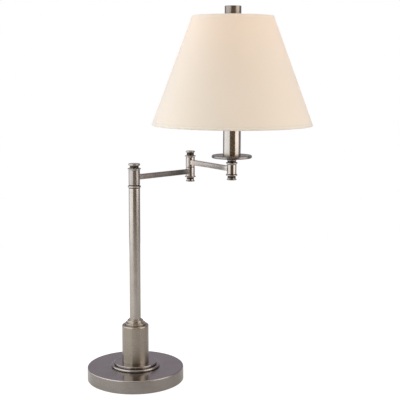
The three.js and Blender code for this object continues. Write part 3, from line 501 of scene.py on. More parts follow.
def smooth_path(points, steps):
    """Points along a Catmull-Rom curve through the given ones."""
    points = [Vector(p) for p in points]
    ends = [2 * points[0] - points[1]] + points + [2 * points[-1] - points[-2]]
    made = []
    for a, b, c, d in zip(ends, ends[1:], ends[2:], ends[3:]):
        for k in range(steps):
            t = k / steps
            made.append(0.5 * (2 * b + (c - a) * t + (2 * a - 5 * b + 4 * c - d) * t * t
                               + (3 * b - 3 * c + d - a) * t ** 3))
    return made + [points[-1]]


def smooth_outline(points, steps):
    """An outline through the given points as one smooth curve."""
    return [(max(p.x, 0.0), p.y) for p in smooth_path([(x, z, 0.0) for x, z in points], steps)]


def rod(name, path, radius, material, body, matrix, replaced=(), sides=20):
    """A round rod along a path, with flat ends, carried without twist."""
    up = Vector((0, 1, 0))
    loops = []
    for i, here in enumerate(path):
        ahead = path[min(i + 1, len(path) - 1)] - path[max(i - 1, 0)]
        ahead.normalize()
        side = ahead.cross(up)
        if side.length < 1e-4:
            side = ahead.cross(Vector((1, 0, 0)))
        side.normalize()
        up = side.cross(ahead).normalized()
        loops.append([tuple(here + (side * math.cos(a) + up * math.sin(a)) * radius) for a in turns(sides)])
    points, faces = skin(loops, "capped", clockwise=True)
    return finished(name, points, faces, material, body, matrix, replaced)


def bore_through(piece, start, stop, radius, sides=48):
    """Cuts a round hole through a piece's wall, between two points of the hole's axis."""
    turn = (stop - start).to_track_quat("Z", "Y").to_matrix().to_4x4()
    half = (stop - start).length / 2
    loops = [[(radius * math.cos(a), radius * math.sin(a), z) for a in turns(sides)] for z in (-half, half)]
    cutter = add_object("cutter", new_mesh("cutter", *skin(loops, "capped")))
    cutter.matrix_world = Matrix.Translation((start + stop) / 2) @ turn
    hole = piece.modifiers.new("hole", "BOOLEAN")
    hole.operation, hole.object, hole.solver = "DIFFERENCE", cutter, "EXACT"
    bored = bpy.data.meshes.new_from_object(piece.evaluated_get(bpy.context.evaluated_depsgraph_get()))
    bored.set_sharp_from_angle(angle=SHARP)
    piece.modifiers.clear()
    piece.data = bored
    bpy.data.objects.remove(cutter)


# ---- stand ----


def make_base():
    """The spun cover: a rounded top edge, a crisp foot and a hole for the cord at the back.

    Two rings of points above and below the hole keep its edge from shading the wall around it.
    """
    low, high, r = extent("base_shell", POLE)
    wall, hole = 1.2 * MM, 4.4 * MM
    inner = r - wall
    low_corner, high_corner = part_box("cord_bushing")
    inlet = (low_corner + high_corner) / 2
    outline = rounded([
        (inner, low), (r, low, 1.0 * MM),
        (r, inlet.z - hole - 0.7 * MM), (r, inlet.z + hole + 0.7 * MM),
        (r, high, 2.4 * MM), (PIPE_BORE, high),
        (PIPE_BORE, high - wall), (inner, high - wall, 0.8 * MM),
        (inner, low),
    ], 8)
    piece = lathe("base_cover", outline, POLE, NICKEL_SATIN_SHADED, "stand", ["base_shell"], 192)
    inside, outside = Vector((inlet.x, inner - 6 * MM, inlet.z)), Vector((inlet.x, r + 6 * MM, inlet.z))
    bore_through(piece, inside, outside, hole)


def make_felt():
    """The pad the lamp rests on, with its cut edge a little rounded."""
    low, high, r = extent("base_felt", POLE)
    edge = rounded([(r - 0.3 * MM, low), (r, low, 0.2 * MM), (r, high, 0.3 * MM), (r - 0.6 * MM, high)])
    pad = [(0.0, low)] + edge + [(0.0, high)]
    lathe("felt_pad", pad, POLE, FELT, "stand", ["base_felt"], 128)


def make_foot():
    """The beaded ring and the polished disc that the sleeve stands on, with a groove between them."""
    low, high, r = extent("foot_ring", POLE)
    bead = (high - low) / 2
    ring = [(r - bead - 0.2 * MM, low)] + arc(r - bead, low + bead, bead, -80, 80, 16)
    ring += [(r - bead - 0.6 * MM, high)]
    lathe("foot_bead", ring_outline(ring, PIPE_BORE), POLE, NICKEL_SATIN_SHADED, "stand", ["foot_ring"], 160)
    low, high, r = extent("foot_disc", POLE)
    disc = rounded([
        (r - 2.6 * MM, low), (r - 2.6 * MM, low + 1.1 * MM, 0.3 * MM),
        (r, low + 1.1 * MM, 0.5 * MM), (r, high, 1.1 * MM),
        (r - 12 * MM, high),
    ])
    lathe("foot_plate", ring_outline(disc, PIPE_BORE), POLE, NICKEL_SATIN_SHADED, "stand", ["foot_disc"], 160)


def make_sleeve():
    """The fat lower sleeve with its rounded shoulder, and the stepped cap in its mouth."""
    low, high, r = extent("base_sleeve", POLE)
    wall, mouth = 1.6 * MM, 20.3 * MM
    sleeve = rounded([
        (r - wall, low), (r, low, 0.25 * MM),
        (r, high, 3.2 * MM), (mouth, high, 0.4 * MM),
        (mouth, high - wall), (r - wall, high - wall, 1.6 * MM),
        (r - wall, low),
    ], 8)
    lathe("lower_sleeve", sleeve, POLE, NICKEL_SLEEVE_SHADED, "stand", ["base_sleeve"], 128)
    low, high = span("sleeve_cap")
    wide, middle, slim = 20.0 * MM, 15.5 * MM, 12.6 * MM
    step_1, step_2 = high - 7.6 * MM, high - 2.4 * MM
    bore = 11.25 * MM
    cap = rounded([
        (wide, low + 4 * MM), (wide, step_1, 1.2 * MM),
        (middle + 0.8 * MM, step_1 + 0.3 * MM, 0.7 * MM), (middle, step_2, 1.4 * MM),
        (slim, step_2 + 0.2 * MM, 0.4 * MM), (slim, high, 0.8 * MM),
        (bore, high),
    ])
    cap += [(bore, low + 4 * MM), cap[0]]
    lathe("stepped_cap", cap, POLE, NICKEL_SLEEVE_SHADED, "stand", ["sleeve_cap"], 112)


def make_pole():
    """The pole, the bead ring on top of it between two grooves painted dark as shade, and the button that
    locks the arm.
    """
    low, high, r = extent("pole_tube", POLE)
    tube = ring_outline([(r, low), (r, high)], r - 1.2 * MM)
    lathe("pole", tube, POLE, NICKEL, "stand", ["pole_tube"])
    low, high, r_ring = extent("pole_ring", POLE)
    bead = 2.0 * MM
    middle = (low + high) / 2 + 0.3 * MM
    groove = r + 0.45 * MM
    ring = rounded([(r, low), (groove, low + 0.5 * MM, 0.2 * MM), (groove, middle - bead)])
    ring += arc(r_ring - bead, middle, bead, -78, 78, 14)
    ring += rounded([(groove, middle + bead), (groove, high - 0.5 * MM, 0.2 * MM), (r, high)])
    # The grooves on either side of the bead get painted shade.
    lathe("pole_bead", ring_outline(ring, PIPE_BORE), POLE, NICKEL, "stand", ["pole_ring"], 96, bands=[
        (middle - bead - MM, middle - bead, r, NICKEL_PAINTED_SHADE),
        (middle + bead, middle + bead + MM, r, NICKEL_PAINTED_SHADE),
    ])
    low, high, r = extent("head_button", POLE)
    button = rounded([
        (0.0, low), (r, low, 1.7 * MM),
        (r, high, 1.7 * MM), (r - 3.4 * MM, high, 0.5 * MM),
        (r - 4.0 * MM, high), (0.0, high),
    ], 8)
    lathe("pivot_button", button, POLE, NICKEL_SATIN_SHADED, "stand", ["head_button"])


def make_bushing():
    """A moulded grommet in the back of the cover: a rounded flange round an open bore."""
    low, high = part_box("cord_bushing")
    centre = (low + high) / 2
    r = (high.z - low.z) / 2
    depth = high.y - low.y
    bore, body = 2.9 * MM, 4.3 * MM
    outline = rounded([
        (bore, 0.0), (body, 0.0, 0.2 * MM),
        (body, depth - 1.3 * MM), (r, depth - 1.3 * MM, 0.3 * MM),
        (r, depth, 0.6 * MM), (bore, depth, 0.5 * MM),
        (bore, 0.0),
    ])
    matrix = Matrix.Translation((centre.x, low.y, centre.z)) @ Matrix.Rotation(-math.pi / 2, 4, "X")
    lathe("cord_grommet", outline, None, PHENOLIC, "stand", ["cord_bushing"], 64, matrix=matrix)


make_base()
make_felt()
make_foot()
make_sleeve()
make_pole()
make_bushing()

# ---- arms ----


def make_knuckle(name, node, axis, body, slim, bore, flares, lip=1.15 * MM, material=NICKEL_SMALL):
    """A turned sleeve. Each rim named in flares spreads through a cove into a rounded lip."""
    low, high, rim = extent(node, axis)
    cove, step = 2.35 * lip, 0.15 * (rim - slim)
    if "low" in flares:
        outline = arc(rim - lip, low + lip, lip, -90, 65, 10)
        outline += [(slim + step, low + cove), (slim, low + cove + 0.9 * MM)]
    else:
        outline = rounded([(slim - 0.5 * MM, low), (slim, low, 0.4 * MM), (slim, low + 2 * MM)])
    if "high" in flares:
        outline += [(slim, high - cove - 0.9 * MM), (slim + step, high - cove)]
        outline += arc(rim - lip, high - lip, lip, -65, 90, 10)
    else:
        outline += rounded([(slim, high - 2 * MM), (slim, high, 0.4 * MM), (slim - 0.5 * MM, high)])
    lathe(name, ring_outline(outline, bore), axis, material, body, [node])


def make_bar(name, node, start, stop, body, material):
    """A square bar with softened edges between two axes."""
    low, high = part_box(node)
    half = (high.z - low.z) / 2
    z = (high.z + low.z) / 2
    gap, soft, steps = 8.4 * MM, 0.75 * MM, 12
    along = Vector((stop.x - start.x, stop.y - start.y, 0))
    section = []
    for cx, cy, first in ((1, 1, 0), (-1, 1, 90), (-1, -1, 180), (1, -1, 270)):
        section += arc(cx * (half - soft), cy * (half - soft), soft, first, first + 90, 5)
    places = [gap + (along.length - 2 * gap) * i / steps for i in range(steps + 1)]
    points, faces = skin([[(x, y, dz) for y, dz in section] for x in places], "capped")
    matrix = Matrix.Translation((start.x, start.y, z)) @ Matrix.Rotation(math.atan2(along.y, along.x), 4, "Z")
    finished(name, points, faces, material, body, matrix, [node])


def make_neck(name, node, axis, body):
    """A short neck between a knuckle and its button, slightly waisted and painted dark as shade."""
    low, high, r = extent(node, axis)
    waist = r - 0.5 * MM
    outline = rounded([
        (r - 0.3 * MM, low), (r, low, 0.3 * MM),
        (waist, (low + high) / 2, 1.5 * MM), (r, high, 0.3 * MM),
        (r - 0.3 * MM, high),
    ])
    # The neck gets painted shade.
    lathe(name, ring_outline(outline, PIPE_BORE), axis, NICKEL_PAINTED_SHADE, body, [node], 80)


def make_disc_button(name, node, axis, body):
    """A round button with a full edge and a slightly domed top."""
    low, high, r = extent(node, axis)
    edge = (high - low) / 2 - 0.15 * MM
    outline = [(0.0, low), (r - edge, low)] + arc(r - edge, low + edge, edge, -80, 80, 12)
    outline += [(r - edge - 0.6 * MM, high - 0.05 * MM), (r * 0.45, high), (0.0, high)]
    lathe(name, outline, axis, NICKEL_SMALL, body, [node], 80)


def make_hanging_button(name, node, axis, body, neck):
    """A button under a knuckle that spreads from its neck to a rounded lower lip."""
    low, high, r = extent(node, axis)
    lip = 1.0 * MM
    outline = [(0.0, low + 0.6 * MM), (r - 3.2 * MM, low + 0.35 * MM), (r - lip - 0.3 * MM, low)]
    outline += arc(r - lip, low + lip, lip, -80, 60, 10)
    outline += [(r - 1.5 * MM, low + 2.6 * MM), (neck + 0.1 * MM, high), (0.0, high)]
    lathe(name, outline, axis, NICKEL_SMALL, body, [node], 80)


HEAD_RADIUS = 10.95 * MM  # the knuckle on the pole, between its rims
KNUCKLE_RADIUS = 9.1 * MM  # the other knuckles
make_neck("pivot_neck", "head_nut", POLE, "stand")
make_knuckle("head_barrel", "head_knuckle", POLE, "arm_1", HEAD_RADIUS, 6.9 * MM, ["high"],
             material=NICKEL_SATIN_SHADED)
make_bar("first_bar", "arm_1_bar", POLE, ELBOW, "arm_1", NICKEL_BAR_1_SHADED)
make_knuckle("elbow_lower_barrel", "elbow_lower_knuckle", ELBOW, "arm_1", KNUCKLE_RADIUS, PIPE_BORE, ["low"])
make_neck("elbow_top_neck", "elbow_top_nut", ELBOW, "arm_1")
make_disc_button("elbow_top_cap", "elbow_top_button", ELBOW, "arm_1")
make_neck("elbow_lower_neck", "elbow_lower_nut", ELBOW, "arm_1")
make_hanging_button("elbow_lower_cap", "elbow_lower_button", ELBOW, "arm_1", 7.2 * MM)
make_knuckle("elbow_upper_barrel", "elbow_upper_knuckle", ELBOW, "arm_2", KNUCKLE_RADIUS, PIPE_BORE, ["high"])
make_bar("second_bar", "arm_2_bar", ELBOW, END, "arm_2", NICKEL_BAR_2_LIT)
make_knuckle("end_barrel", "end_knuckle", END, "arm_2", KNUCKLE_RADIUS, PIPE_BORE, ["low", "high"], 1.5 * MM)
make_neck("end_lower_neck", "end_lower_nut", END, "arm_2")
make_hanging_button("end_lower_cap", "end_lower_button", END, "arm_2", 7.4 * MM)

# ---- dish and candle ----


def make_dish():
    """A flat turned dish with a shallow well and a thick rounded rim, on a beaded neck."""
    low, high = span("dish_neck")
    neck, bead = 8.2 * MM, 1.0 * MM
    bead_z = low + 4 * MM
    outline = [(neck, low), (neck, bead_z - bead)] + arc(neck, bead_z, bead, -75, 75, 12)
    outline += rounded([(neck, bead_z + bead), (neck, high - 1.6 * MM, 0.8 * MM), (neck + 1.8 * MM, high)])
    # Painted shade in the grooves above and below the stem's bead.
    dark = [(low, bead_z - bead, neck * 0.9, NICKEL_PAINTED_SHADE), (bead_z + bead, high, neck * 0.9, NICKEL_PAINTED_SHADE)]
    lathe("dish_stem", ring_outline(outline, PIPE_BORE), END, NICKEL, "arm_2", ["dish_neck"], 80, bands=dark)
    low, high, r = extent("drip_dish", END)
    edge = 1.7 * MM
    well, underside = high - 0.5 * MM, low - 0.8 * MM
    outline = [(PIPE_BORE, underside), (r - edge - 0.3 * MM, underside)]
    outline += arc(r - edge, underside + edge, edge, -85, 0, 10)
    outline += arc(r - edge, high - edge, edge, 0, 105, 12)
    outline += rounded([
        (r - edge - 0.9 * MM, high - 0.2 * MM), (r - 3.8 * MM, well, 1.2 * MM),
        (PIPE_BORE, well), (PIPE_BORE, underside),
    ])
    # Painted shade under the dish's rim.
    dark = [(underside - MM, underside + 0.8 * edge, 12 * MM, NICKEL_PAINTED_SHADE)]
    lathe("bobeche", outline, END, NICKEL_DISH_SHADED, "arm_2", ["drip_dish"], 144, bands=dark)


def make_candle():
    """The tall candle tube in its cup, with a turned cap on top."""
    low, high, r = extent("candle_cup", END)
    step = span("candle_tube")[0]
    cup = rounded([
        (PIPE_BORE, low), (r, low, 0.3 * MM),
        (r, step, 0.2 * MM), (r - 1.6 * MM, step),
        (r - 1.6 * MM, high), (r - 2.8 * MM, high),
        (r - 2.8 * MM, step), (PIPE_BORE, step),
        (PIPE_BORE, low),
    ], 3)
    lathe("candle_seat", cup, END, NICKEL, "arm_2", ["candle_cup"])
    low, high = span("candle_tube")
    tube = rounded([(r - 0.3 * MM, low), (r, low, 0.3 * MM), (r, high, 0.2 * MM), (r - 0.3 * MM, high)], 3)
    lathe("candle", ring_outline(tube, r - 1.2 * MM), END, NICKEL, "arm_2", ["candle_tube"], 112)
    low, high = span("candle_cap")
    cap = rounded([
        (r - 1.6 * MM, low), (r - 1.6 * MM, high - 3.0 * MM),
        (r, high - 3.0 * MM, 0.3 * MM), (r, high, 1.3 * MM),
        (PIPE_BORE, high),
    ])
    lathe("candle_top", ring_outline(cap, PIPE_BORE), END, NICKEL, "arm_2", ["candle_cap"])


make_dish()
make_candle()

# ---- socket, switch and bulb ----


def make_socket():
    """A brass lamp socket: a domed cap crimped into a beaded shell, with a hole for the switch's stem."""
    low, high, rim = extent("socket_cap", END)
    wall = 0.7 * MM
    cap = rounded([
        (PIPE_BORE, low), (9 * MM, low, 0.4 * MM),
        (9 * MM, low + 3.2 * MM, 0.6 * MM), (13 * MM, low + 4.6 * MM, 3 * MM),
        (rim, low + 9.6 * MM, 3 * MM), (rim, high),
        (rim - wall, high), (rim - wall, low + 10.2 * MM, 3 * MM),
        (12.6 * MM, low + 5.5 * MM, 3 * MM), (8 * MM, low + 4.0 * MM),
        (PIPE_BORE, low + 4.0 * MM), (PIPE_BORE, low),
    ])
    lathe("socket_dome", cap, END, BRASS, "arm_2", ["socket_cap"])
    low, high, r = extent("socket_shell", END)
    bead = 0.55 * MM
    shell = [(r - wall, low), (r - 0.1 * MM, low)]
    for z in (low + 2.2 * MM, high - 4.0 * MM):
        shell += arc(r - 0.25 * MM, z, bead, -60, 60, 8)
    shell += [(r - 0.1 * MM, high - 1.0 * MM)]
    shell += arc(r - 0.8 * MM, high - 0.8 * MM, 0.75 * MM, 10, 170, 10)
    shell += [(r - 1.5 * MM, high - 1.8 * MM), (r - wall, high - 2.2 * MM), (r - wall, low)]
    piece = lathe("socket_body", shell, END, BRASS, "arm_2", ["socket_shell"])
    inside, outside = SWITCH + SWITCH_AXIS * (r - 5 * MM), SWITCH + SWITCH_AXIS * (r + 5 * MM)
    bore_through(piece, inside, outside, 2.1 * MM, 32)


def make_bulb():
    """A pear-shaped bulb on a screw base with a real rolled thread."""
    low, high, r = extent("bulb_base", END)
    thread = 3.6 * MM
    start, stop = low + 5.4 * MM, high - 5.0 * MM

    def threaded(angle, radius, z):
        if not start < z < stop or radius < r * 0.9:
            return radius
        fade = min(1.0, (z - start) / (2 * MM), (stop - z) / (2 * MM))
        return radius - 0.45 * MM * fade * (1 + math.cos(2 * math.pi * z / thread - angle))

    steps = 44
    body = [(r - 0.6 * MM, start + (stop - start) * k / steps) for k in range(steps + 1)]
    tip = [(0.0, low), (3.2 * MM, low), (3.9 * MM, low + 0.5 * MM)]
    tip += [(4.2 * MM, low + 1.5 * MM), (8.6 * MM, low + 3.6 * MM)]
    collar = [(r - 0.6 * MM, high - 4.4 * MM), (r, high - 0.3 * MM), (r - 0.3 * MM, high)]
    inside = [(r - 1.0 * MM, high), (r - 1.4 * MM, high - 5 * MM), (0.0, high - 5 * MM)]
    outline = tip + body + collar + inside
    lathe("bulb_screw_base", outline, END, LAMP_BASE, "arm_2", ["bulb_base"], 96, threaded)
    low, high, r = extent("bulb_glass", END)
    neck = 11.2 * MM
    ball = high - r
    collar_z = low + 4.6 * MM
    flank = smooth_outline([
        (neck, collar_z), (neck + 0.4 * MM, collar_z + 5 * MM),
        (neck + 2.8 * MM, collar_z + 14 * MM), (neck + 9.0 * MM, collar_z + 27 * MM),
    ] + arc(0.0, ball, r, -24, 90, 4), 10)
    wall = 0.8 * MM
    outer = [(neck, low)] + flank
    inner = [(max(x - wall, 0.0), z - (wall if x < 2 * MM else 0.0)) for x, z in outer]
    outline = outer[:-1] + [(0.0, high), (0.0, high - wall)] + inner[:-1][::-1]
    lathe("bulb", outline + [outline[0]], END, BULB, "arm_2", ["bulb_glass"], 112)


def make_switch():
    """The turn knob: a fluted phenolic grip with a domed end, on a thin metal stem."""
    low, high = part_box("switch_knob")
    tip = max((v.co - SWITCH).dot(SWITCH_AXIS) for v in NODES["switch_knob"].data.vertices)
    grip = (high.z - low.z) / 2
    length, flutes = 13 * MM, 16
    turn = SWITCH_AXIS.to_track_quat("Z", "Y").to_matrix().to_4x4()

    def fluted(angle, radius, z):
        if radius < grip * 0.8:
            return radius
        return radius - 0.512 * MM * (1 - abs(math.cos(angle * flutes / 2)))

    start = tip - length
    outline = rounded([
        (0.0, start), (grip * 0.7, start, 0.3 * MM),
        (grip * 0.92, start + 0.9 * MM, 0.4 * MM), (grip, start + 1.6 * MM, 0.5 * MM),
        (grip, tip - 1.6 * MM, 0.8 * MM), (grip * 0.9, tip - 0.5 * MM, 0.8 * MM),
        (grip * 0.5, tip, 1.5 * MM), (0.0, tip),
    ])
    matrix = Matrix.Translation(SWITCH + SWITCH_AXIS * start) @ turn
    lathe("switch_grip", outline, None, PHENOLIC, "switch", ["switch_knob"], 128, fluted, matrix=matrix)
    inner_end = 8 * MM
    reach = start - inner_end
    stem = rounded([(0.0, 0.0), (1.7 * MM, 0.0, 0.2 * MM), (1.7 * MM, reach), (0.0, reach)])
    matrix = Matrix.Translation(SWITCH + SWITCH_AXIS * inner_end) @ turn
    lathe("switch_stem", stem, None, BRASS, "switch", (), 48, matrix=matrix)


make_socket()
make_bulb()
make_switch()

# ---- harp ----

ARM_LINE = Vector((END.x - ELBOW.x, END.y - ELBOW.y, 0)).normalized()
ARM_ANGLE = math.atan2(ARM_LINE.y, ARM_LINE.x)
END_AXIS = Vector((END.x, END.y, 0))
POST = 27 * MM  # from the axis to a foot of the harp


def make_harp():
    """The wire loop round the bulb, and the sleeves that lock its feet."""
    low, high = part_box("harp_wire")
    wire = 1.6 * MM
    foot, top = low.z, high.z - wire
    widest = math.hypot(high.x - low.x, high.y - low.y) / 2 - wire
    half = [
        (POST, foot), (POST, foot + 11 * MM),
        (POST + 5 * MM, foot + 21 * MM), (widest - 3 * MM, foot + 44 * MM),
        (widest, foot + 72 * MM), (widest - 2.5 * MM, foot + 100 * MM),
        (widest - 12 * MM, foot + 128 * MM), (28 * MM, top - 8 * MM),
        (14 * MM, top - 0.6 * MM),
    ]
    route = [(x, 0, z) for x, z in half] + [(0, 0, top)] + [(-x, 0, z) for x, z in half[::-1]]
    matrix = Matrix.Translation(END_AXIS) @ Matrix.Rotation(ARM_ANGLE, 4, "Z")
    piece = rod("harp", smooth_path(route, 8), wire, HARP_METAL, "arm_2", matrix, ["harp_wire"], 18)
    for side, node in ((-1, "harp_ferrule_left"), (1, "harp_ferrule_right")):
        low, high = span(node)
        r = 4.2 * MM
        outline = rounded([
            (r - 0.5 * MM, low), (r, low + 0.2 * MM, 0.3 * MM),
            (r, low + 2.4 * MM, 0.3 * MM), (r - 0.5 * MM, low + 3.0 * MM, 0.4 * MM),
            (r - 0.5 * MM, high - 3.0 * MM, 0.4 * MM), (r, high - 2.4 * MM, 0.3 * MM),
            (r, high - 0.2 * MM, 0.3 * MM), (r - 0.5 * MM, high),
        ])
        axis = END_AXIS + ARM_LINE * side * POST
        body = node.replace("harp_", "")
        lathe(node + "_sleeve", ring_outline(outline, 3.0 * MM), axis, HARP_METAL, body, [node], 48)


def make_stud():
    """The swivel stud on the harp: a shoulder under the spider and a screw for the finial."""
    low, high, shoulder = extent("harp_stud", END)
    outline = rounded([
        (0.0, low), (shoulder - 1.0 * MM, low, 0.3 * MM),
        (shoulder, low + 0.7 * MM, 0.3 * MM), (shoulder, low + 2.0 * MM, 0.2 * MM),
        (3.0 * MM, low + 2.0 * MM, 0.1 * MM), (3.0 * MM, high - 0.6 * MM, 0.3 * MM),
        (2.4 * MM, high), (0.0, high),
    ])
    lathe("finial_stud", outline, END, HARP_METAL, "shade", ["harp_stud"], 48)


make_harp()
make_stud()

# ---- shade ----

SHADE_LOW, SHADE_HIGH, SHADE_WIDE = extent("shade_paper", END)
SHADE_SLIM = SHADE_WIDE * 0.5
SLOPE = (SHADE_WIDE - SHADE_SLIM) / (SHADE_HIGH - SHADE_LOW)
PAPER_THICK = 0.6 * MM
TRIM = 6 * MM
TRIM_THICK = 0.12 * MM
WIRE_DEPTH = 1.7 * MM  # from the paper's edge to the middle of the wire in it


def cone_radius(z):
    """The radius of the paper's outer face."""
    return SHADE_SLIM + (SHADE_HIGH - z) * SLOPE


def rolled_edge(z_edge, up):
    """The paper's edge from outside to inside, rolled over its wire. up is 1 at the bottom edge."""
    centre_z = z_edge + up * WIRE_DEPTH
    outer = cone_radius(centre_z) + TRIM_THICK
    inner = cone_radius(centre_z) - 4.4 * MM
    middle, half_width, half_height = (outer + inner) / 2, (outer - inner) / 2, up * 1.95 * MM
    angles = [math.radians(180 * k / 12) for k in range(13)]
    return [(middle + half_width * math.cos(a), centre_z - half_height * math.sin(a)) for a in angles]


def make_shade():
    """A paper cone with its edges rolled over the wires and a trim band along each edge."""
    low_trim, high_trim = SHADE_LOW + TRIM, SHADE_HIGH - TRIM
    rows = 24
    body = [low_trim + 0.4 * MM + (high_trim - low_trim - 0.8 * MM) * k / rows for k in range(rows + 1)]
    levels = [(low_trim, TRIM_THICK)] + [(z, 0.0) for z in body] + [(high_trim, TRIM_THICK)]
    outline = [(cone_radius(z) + proud, z) for z, proud in levels]
    outline += rolled_edge(SHADE_HIGH, -1)
    outline += [(cone_radius(z) - PAPER_THICK - proud, z) for z, proud in levels[::-1]]
    outline += rolled_edge(SHADE_LOW, 1)[::-1]
    outline.append(outline[0])

    def waver(angle, radius, z):
        """Paper isn't perfectly round: a quarter of a millimetre of slow waviness."""
        slow = math.sin(2 * angle + 0.7) + 0.6 * math.sin(3 * angle + 25 * z)
        return radius + 0.12 * MM * (slow + 0.35 * math.sin(7 * angle - 18 * z))

    # Painted light on the trim bands, and painted shade on the thin line above the bottom one.
    piece = lathe("paper_cone", outline, END, PAPER, "shade", ["shade_paper"], 256, waver, bands=[
        (SHADE_LOW - MM, low_trim - 1.6 * MM, SHADE_WIDE * 0.9, PAPER_TRIM_LIT),
        (low_trim - 1.6 * MM, low_trim + 0.5 * MM, SHADE_WIDE * 0.9, PAPER_SHADE_LINE),
        (high_trim + 1.6 * MM, SHADE_HIGH + MM, 0.0, PAPER_TRIM_LIT),
    ])


def make_seam():
    """The glued lap at the back of the shade: a narrow strip standing half a millimetre proud."""
    half_width, rows = 4.5 * MM, 40
    section = [  # share of the half width, height over the cone
        (-1.0, 0.08 * MM), (-0.86, 0.53 * MM),
        (0.0, 0.53 * MM), (0.86, 0.53 * MM),
        (1.0, 0.08 * MM), (0.9, -0.1 * MM),
        (-0.9, -0.1 * MM),
    ]
    loops = []
    for i in range(rows + 1):
        z = SHADE_LOW + TRIM + (SHADE_HIGH - SHADE_LOW - 2 * TRIM) * i / rows
        size = cone_radius(z)
        places = [(math.pi / 2 + share * half_width / size, size + lift) for share, lift in section]
        loops.append([(r * math.cos(a), r * math.sin(a), z - SHADE_LOW) for a, r in places])
    points, faces = skin(loops, "capped", clockwise=True)
    matrix = Matrix.Translation((END.x, END.y, SHADE_LOW))
    piece = finished("paper_lap", points, faces, PAPER, "shade", matrix, [])


def make_spider():
    """The hub washer and the three bent wires that carry the shade's top ring."""
    hub_low = span("shade_spider")[0] + 0.65 * MM
    hub = [(11 * MM, hub_low), (11 * MM, hub_low + 1.5 * MM)]
    outline = ring_outline(hub, 3.5 * MM)
    piece = lathe("spider_hub", outline, END, HARP_METAL, "shade", ["shade_spider"], 64)
    ring_z = SHADE_HIGH - WIRE_DEPTH
    reach = cone_radius(ring_z) - 4.2 * MM
    flat_z = hub_low + 0.75 * MM
    route = [
        (9.8 * MM, 0, flat_z), (26 * MM, 0, flat_z),
        (44 * MM, 0, flat_z + 1.2 * MM), (60 * MM, 0, ring_z - 1.2 * MM),
        (reach, 0, ring_z),
    ]
    for i in range(3):
        angle = ARM_ANGLE + math.radians(90 + 120 * i)
        matrix = Matrix.Translation(END_AXIS) @ Matrix.Rotation(angle, 4, "Z")
        rod(f"spider_arm_{i + 1}", smooth_path(route, 8), 1.4 * MM, HARP_METAL, "shade", matrix, (), 16)


def make_finial():
    """A plain cylinder with a crisp edge and a finely turned top, on a narrow collar."""
    low, high, r = extent("shade_finial", END)
    outline = rounded([
        (0.0, low), (8.5 * MM, low, 0.3 * MM),
        (8.5 * MM, low + 2 * MM, 0.2 * MM), (r, low + 2 * MM, 0.7 * MM),
        (r, high, 0.7 * MM), (r - 2 * MM, high),
        (0.0, high),
    ])
    lathe("finial", outline, END, NICKEL_FINIAL_SHADED, "shade", ["shade_finial"])


make_shade()
make_seam()
make_spider()
make_finial()

# ---- materials of the CAD nodes that are kept ----

KEPT = {
    IRON: ["base_weight"],
    STEEL: [
        "base_washer", "base_nut", "tie_rod", "elbow_spindle", "end_pipe",
        "shade_top_ring", "shade_bottom_ring",
    ],
    BRASS: ["head_bush", "screw_shell"],
    # Painted shade: the washer in the elbow's seam is painted dark.
    NICKEL_PAINTED_SHADE: ["elbow_washer"],
    PHENOLIC: ["head_washer", "socket_core"],
    CARD: ["socket_liner"],
    VINYL: ["base_lead", "pole_lead", "arm_1_lead", "arm_2_lead", "candle_lead"],
    HARP_METAL: ["harp_saddle"],
}
for material, names in KEPT.items():
    for name in names:
        NODES[name].data.materials.clear()
        NODES[name].data.materials.append(material)

# ---- stage and light ----


def add_floor():
    """A round pale table top: white to the camera, and a soft grey in reflections.

    The reflected grey is dimmer to the right and close to the lamp, as beside a window on the left. From
    below it is clear, so that the lamp's underside can be looked at.
    """
    graph = Graph("pale_floor")
    seen = graph.add("LightPath").outputs["Is Camera Ray"]
    place = graph.place()
    across = graph.remap(graph.parts(place)[0], -0.3, 0.4, 0.62, 0.25)
    away = graph.add("VectorMath", {0: place}, operation="LENGTH").outputs["Value"]
    grey = graph.math("ADD", graph.remap(away, 0.2, 0.9, 0.0, 0.4), across)
    top = graph.principled(
        Base_Color=rgb(0.25, 0.25, 0.25), Roughness=0.9, Specular_IOR_Level=0.1,
        Emission_Color=rgb(1.0, 0.985, 0.965),
        Emission_Strength=graph.math("MAXIMUM", graph.math("MULTIPLY", seen, 0.85), grey),
    )
    graph.blend(graph.add("NewGeometry").outputs["Backfacing"], top, graph.add("BsdfTransparent"))
    radius, sides = 1.4, 128
    rim = [(radius * math.cos(a), radius * math.sin(a), -0.2 * MM) for a in turns(sides)]
    mesh = new_mesh("floor", rim, [list(range(sides))])
    mesh.materials.append(graph.material)
    add_object("floor", mesh)


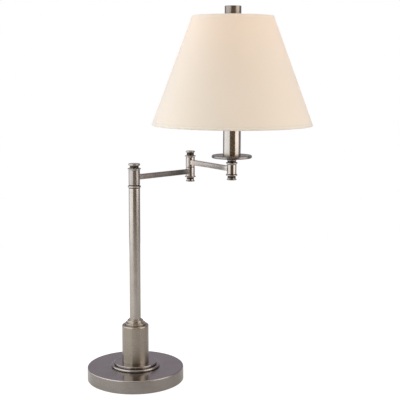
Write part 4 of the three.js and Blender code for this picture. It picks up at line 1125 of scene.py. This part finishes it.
def add_light(name, kind, energy, colour=(1.0, 1.0, 1.0)):
    data = bpy.data.lights.new(name, kind)
    data.energy = energy
    data.color = colour
    return add_object(name, data)


def add_softbox(name, nearest, farthest, low, high, radiance, colour):
    """An upright softbox between two azimuths seen from the candle, in degrees from the camera's side."""
    distance = 1.1
    width = 2 * distance * math.tan(math.radians(abs(farthest - nearest) / 2))
    light = add_light(name, "AREA", radiance * 4 * width * (high - low), colour)
    light.data.shape = "RECTANGLE"
    light.data.size = width
    light.data.size_y = high - low
    angle = math.radians((nearest + farthest) / 2)
    away = Vector((math.sin(angle), -math.cos(angle), 0))
    light.location = Vector((END.x, END.y, (low + high) / 2)) + away * distance
    light.rotation_euler = (-away).to_track_quat("-Z", "Y").to_euler()
    light.visible_camera = False


def add_glow():
    """A faint warm light in the top of the shade."""
    light = add_light("glow", "POINT", 0.16, (1.0, 0.72, 0.42))
    light.data.shadow_soft_size = 0.015
    light.location = (END.x, END.y, span("bulb_glass")[1] + 18 * MM)


def add_sky():
    """White to the camera; to everything else a dim room, dark in front and grey behind."""
    world = bpy.data.worlds.new("studio")
    bpy.context.scene.world = world
    graph = Graph("studio", world)
    behind = graph.remap(graph.parts(graph.add("TexCoord").outputs["Generated"])[1], -1.0, 1.0)
    ramp = graph.add("ValToRGB", {0: behind})
    front, back = ramp.color_ramp.elements
    front.position, front.color = 0.25, (0.20, 0.145, 0.09, 1)
    back.position, back.color = 0.8, (0.49, 0.455, 0.52, 1)
    room = graph.add("Background", {"Color": ramp.outputs[0]})
    white = graph.add("Background", {"Color": (1, 1, 1, 1)})
    graph.blend(graph.add("LightPath").outputs["Is Camera Ray"], room, white)


def add_sun():
    """Very soft light from overhead, which lights the floor evenly."""
    sun = add_light("overhead", "SUN", 2.0)
    sun.data.angle = math.radians(100)
    sun.rotation_euler.x = math.radians(8)


add_floor()
add_sky()
add_sun()
add_glow()
add_softbox("softbox_left", -35, -121, 0.08, 1.5, 1.62, (0.935, 1.0, 1.05))
add_softbox("softbox_right", 37, 90, 0.18, 1.5, 2.1, (1.02, 1.0, 0.98))
bpy.context.scene.view_settings.view_transform = "Standard"
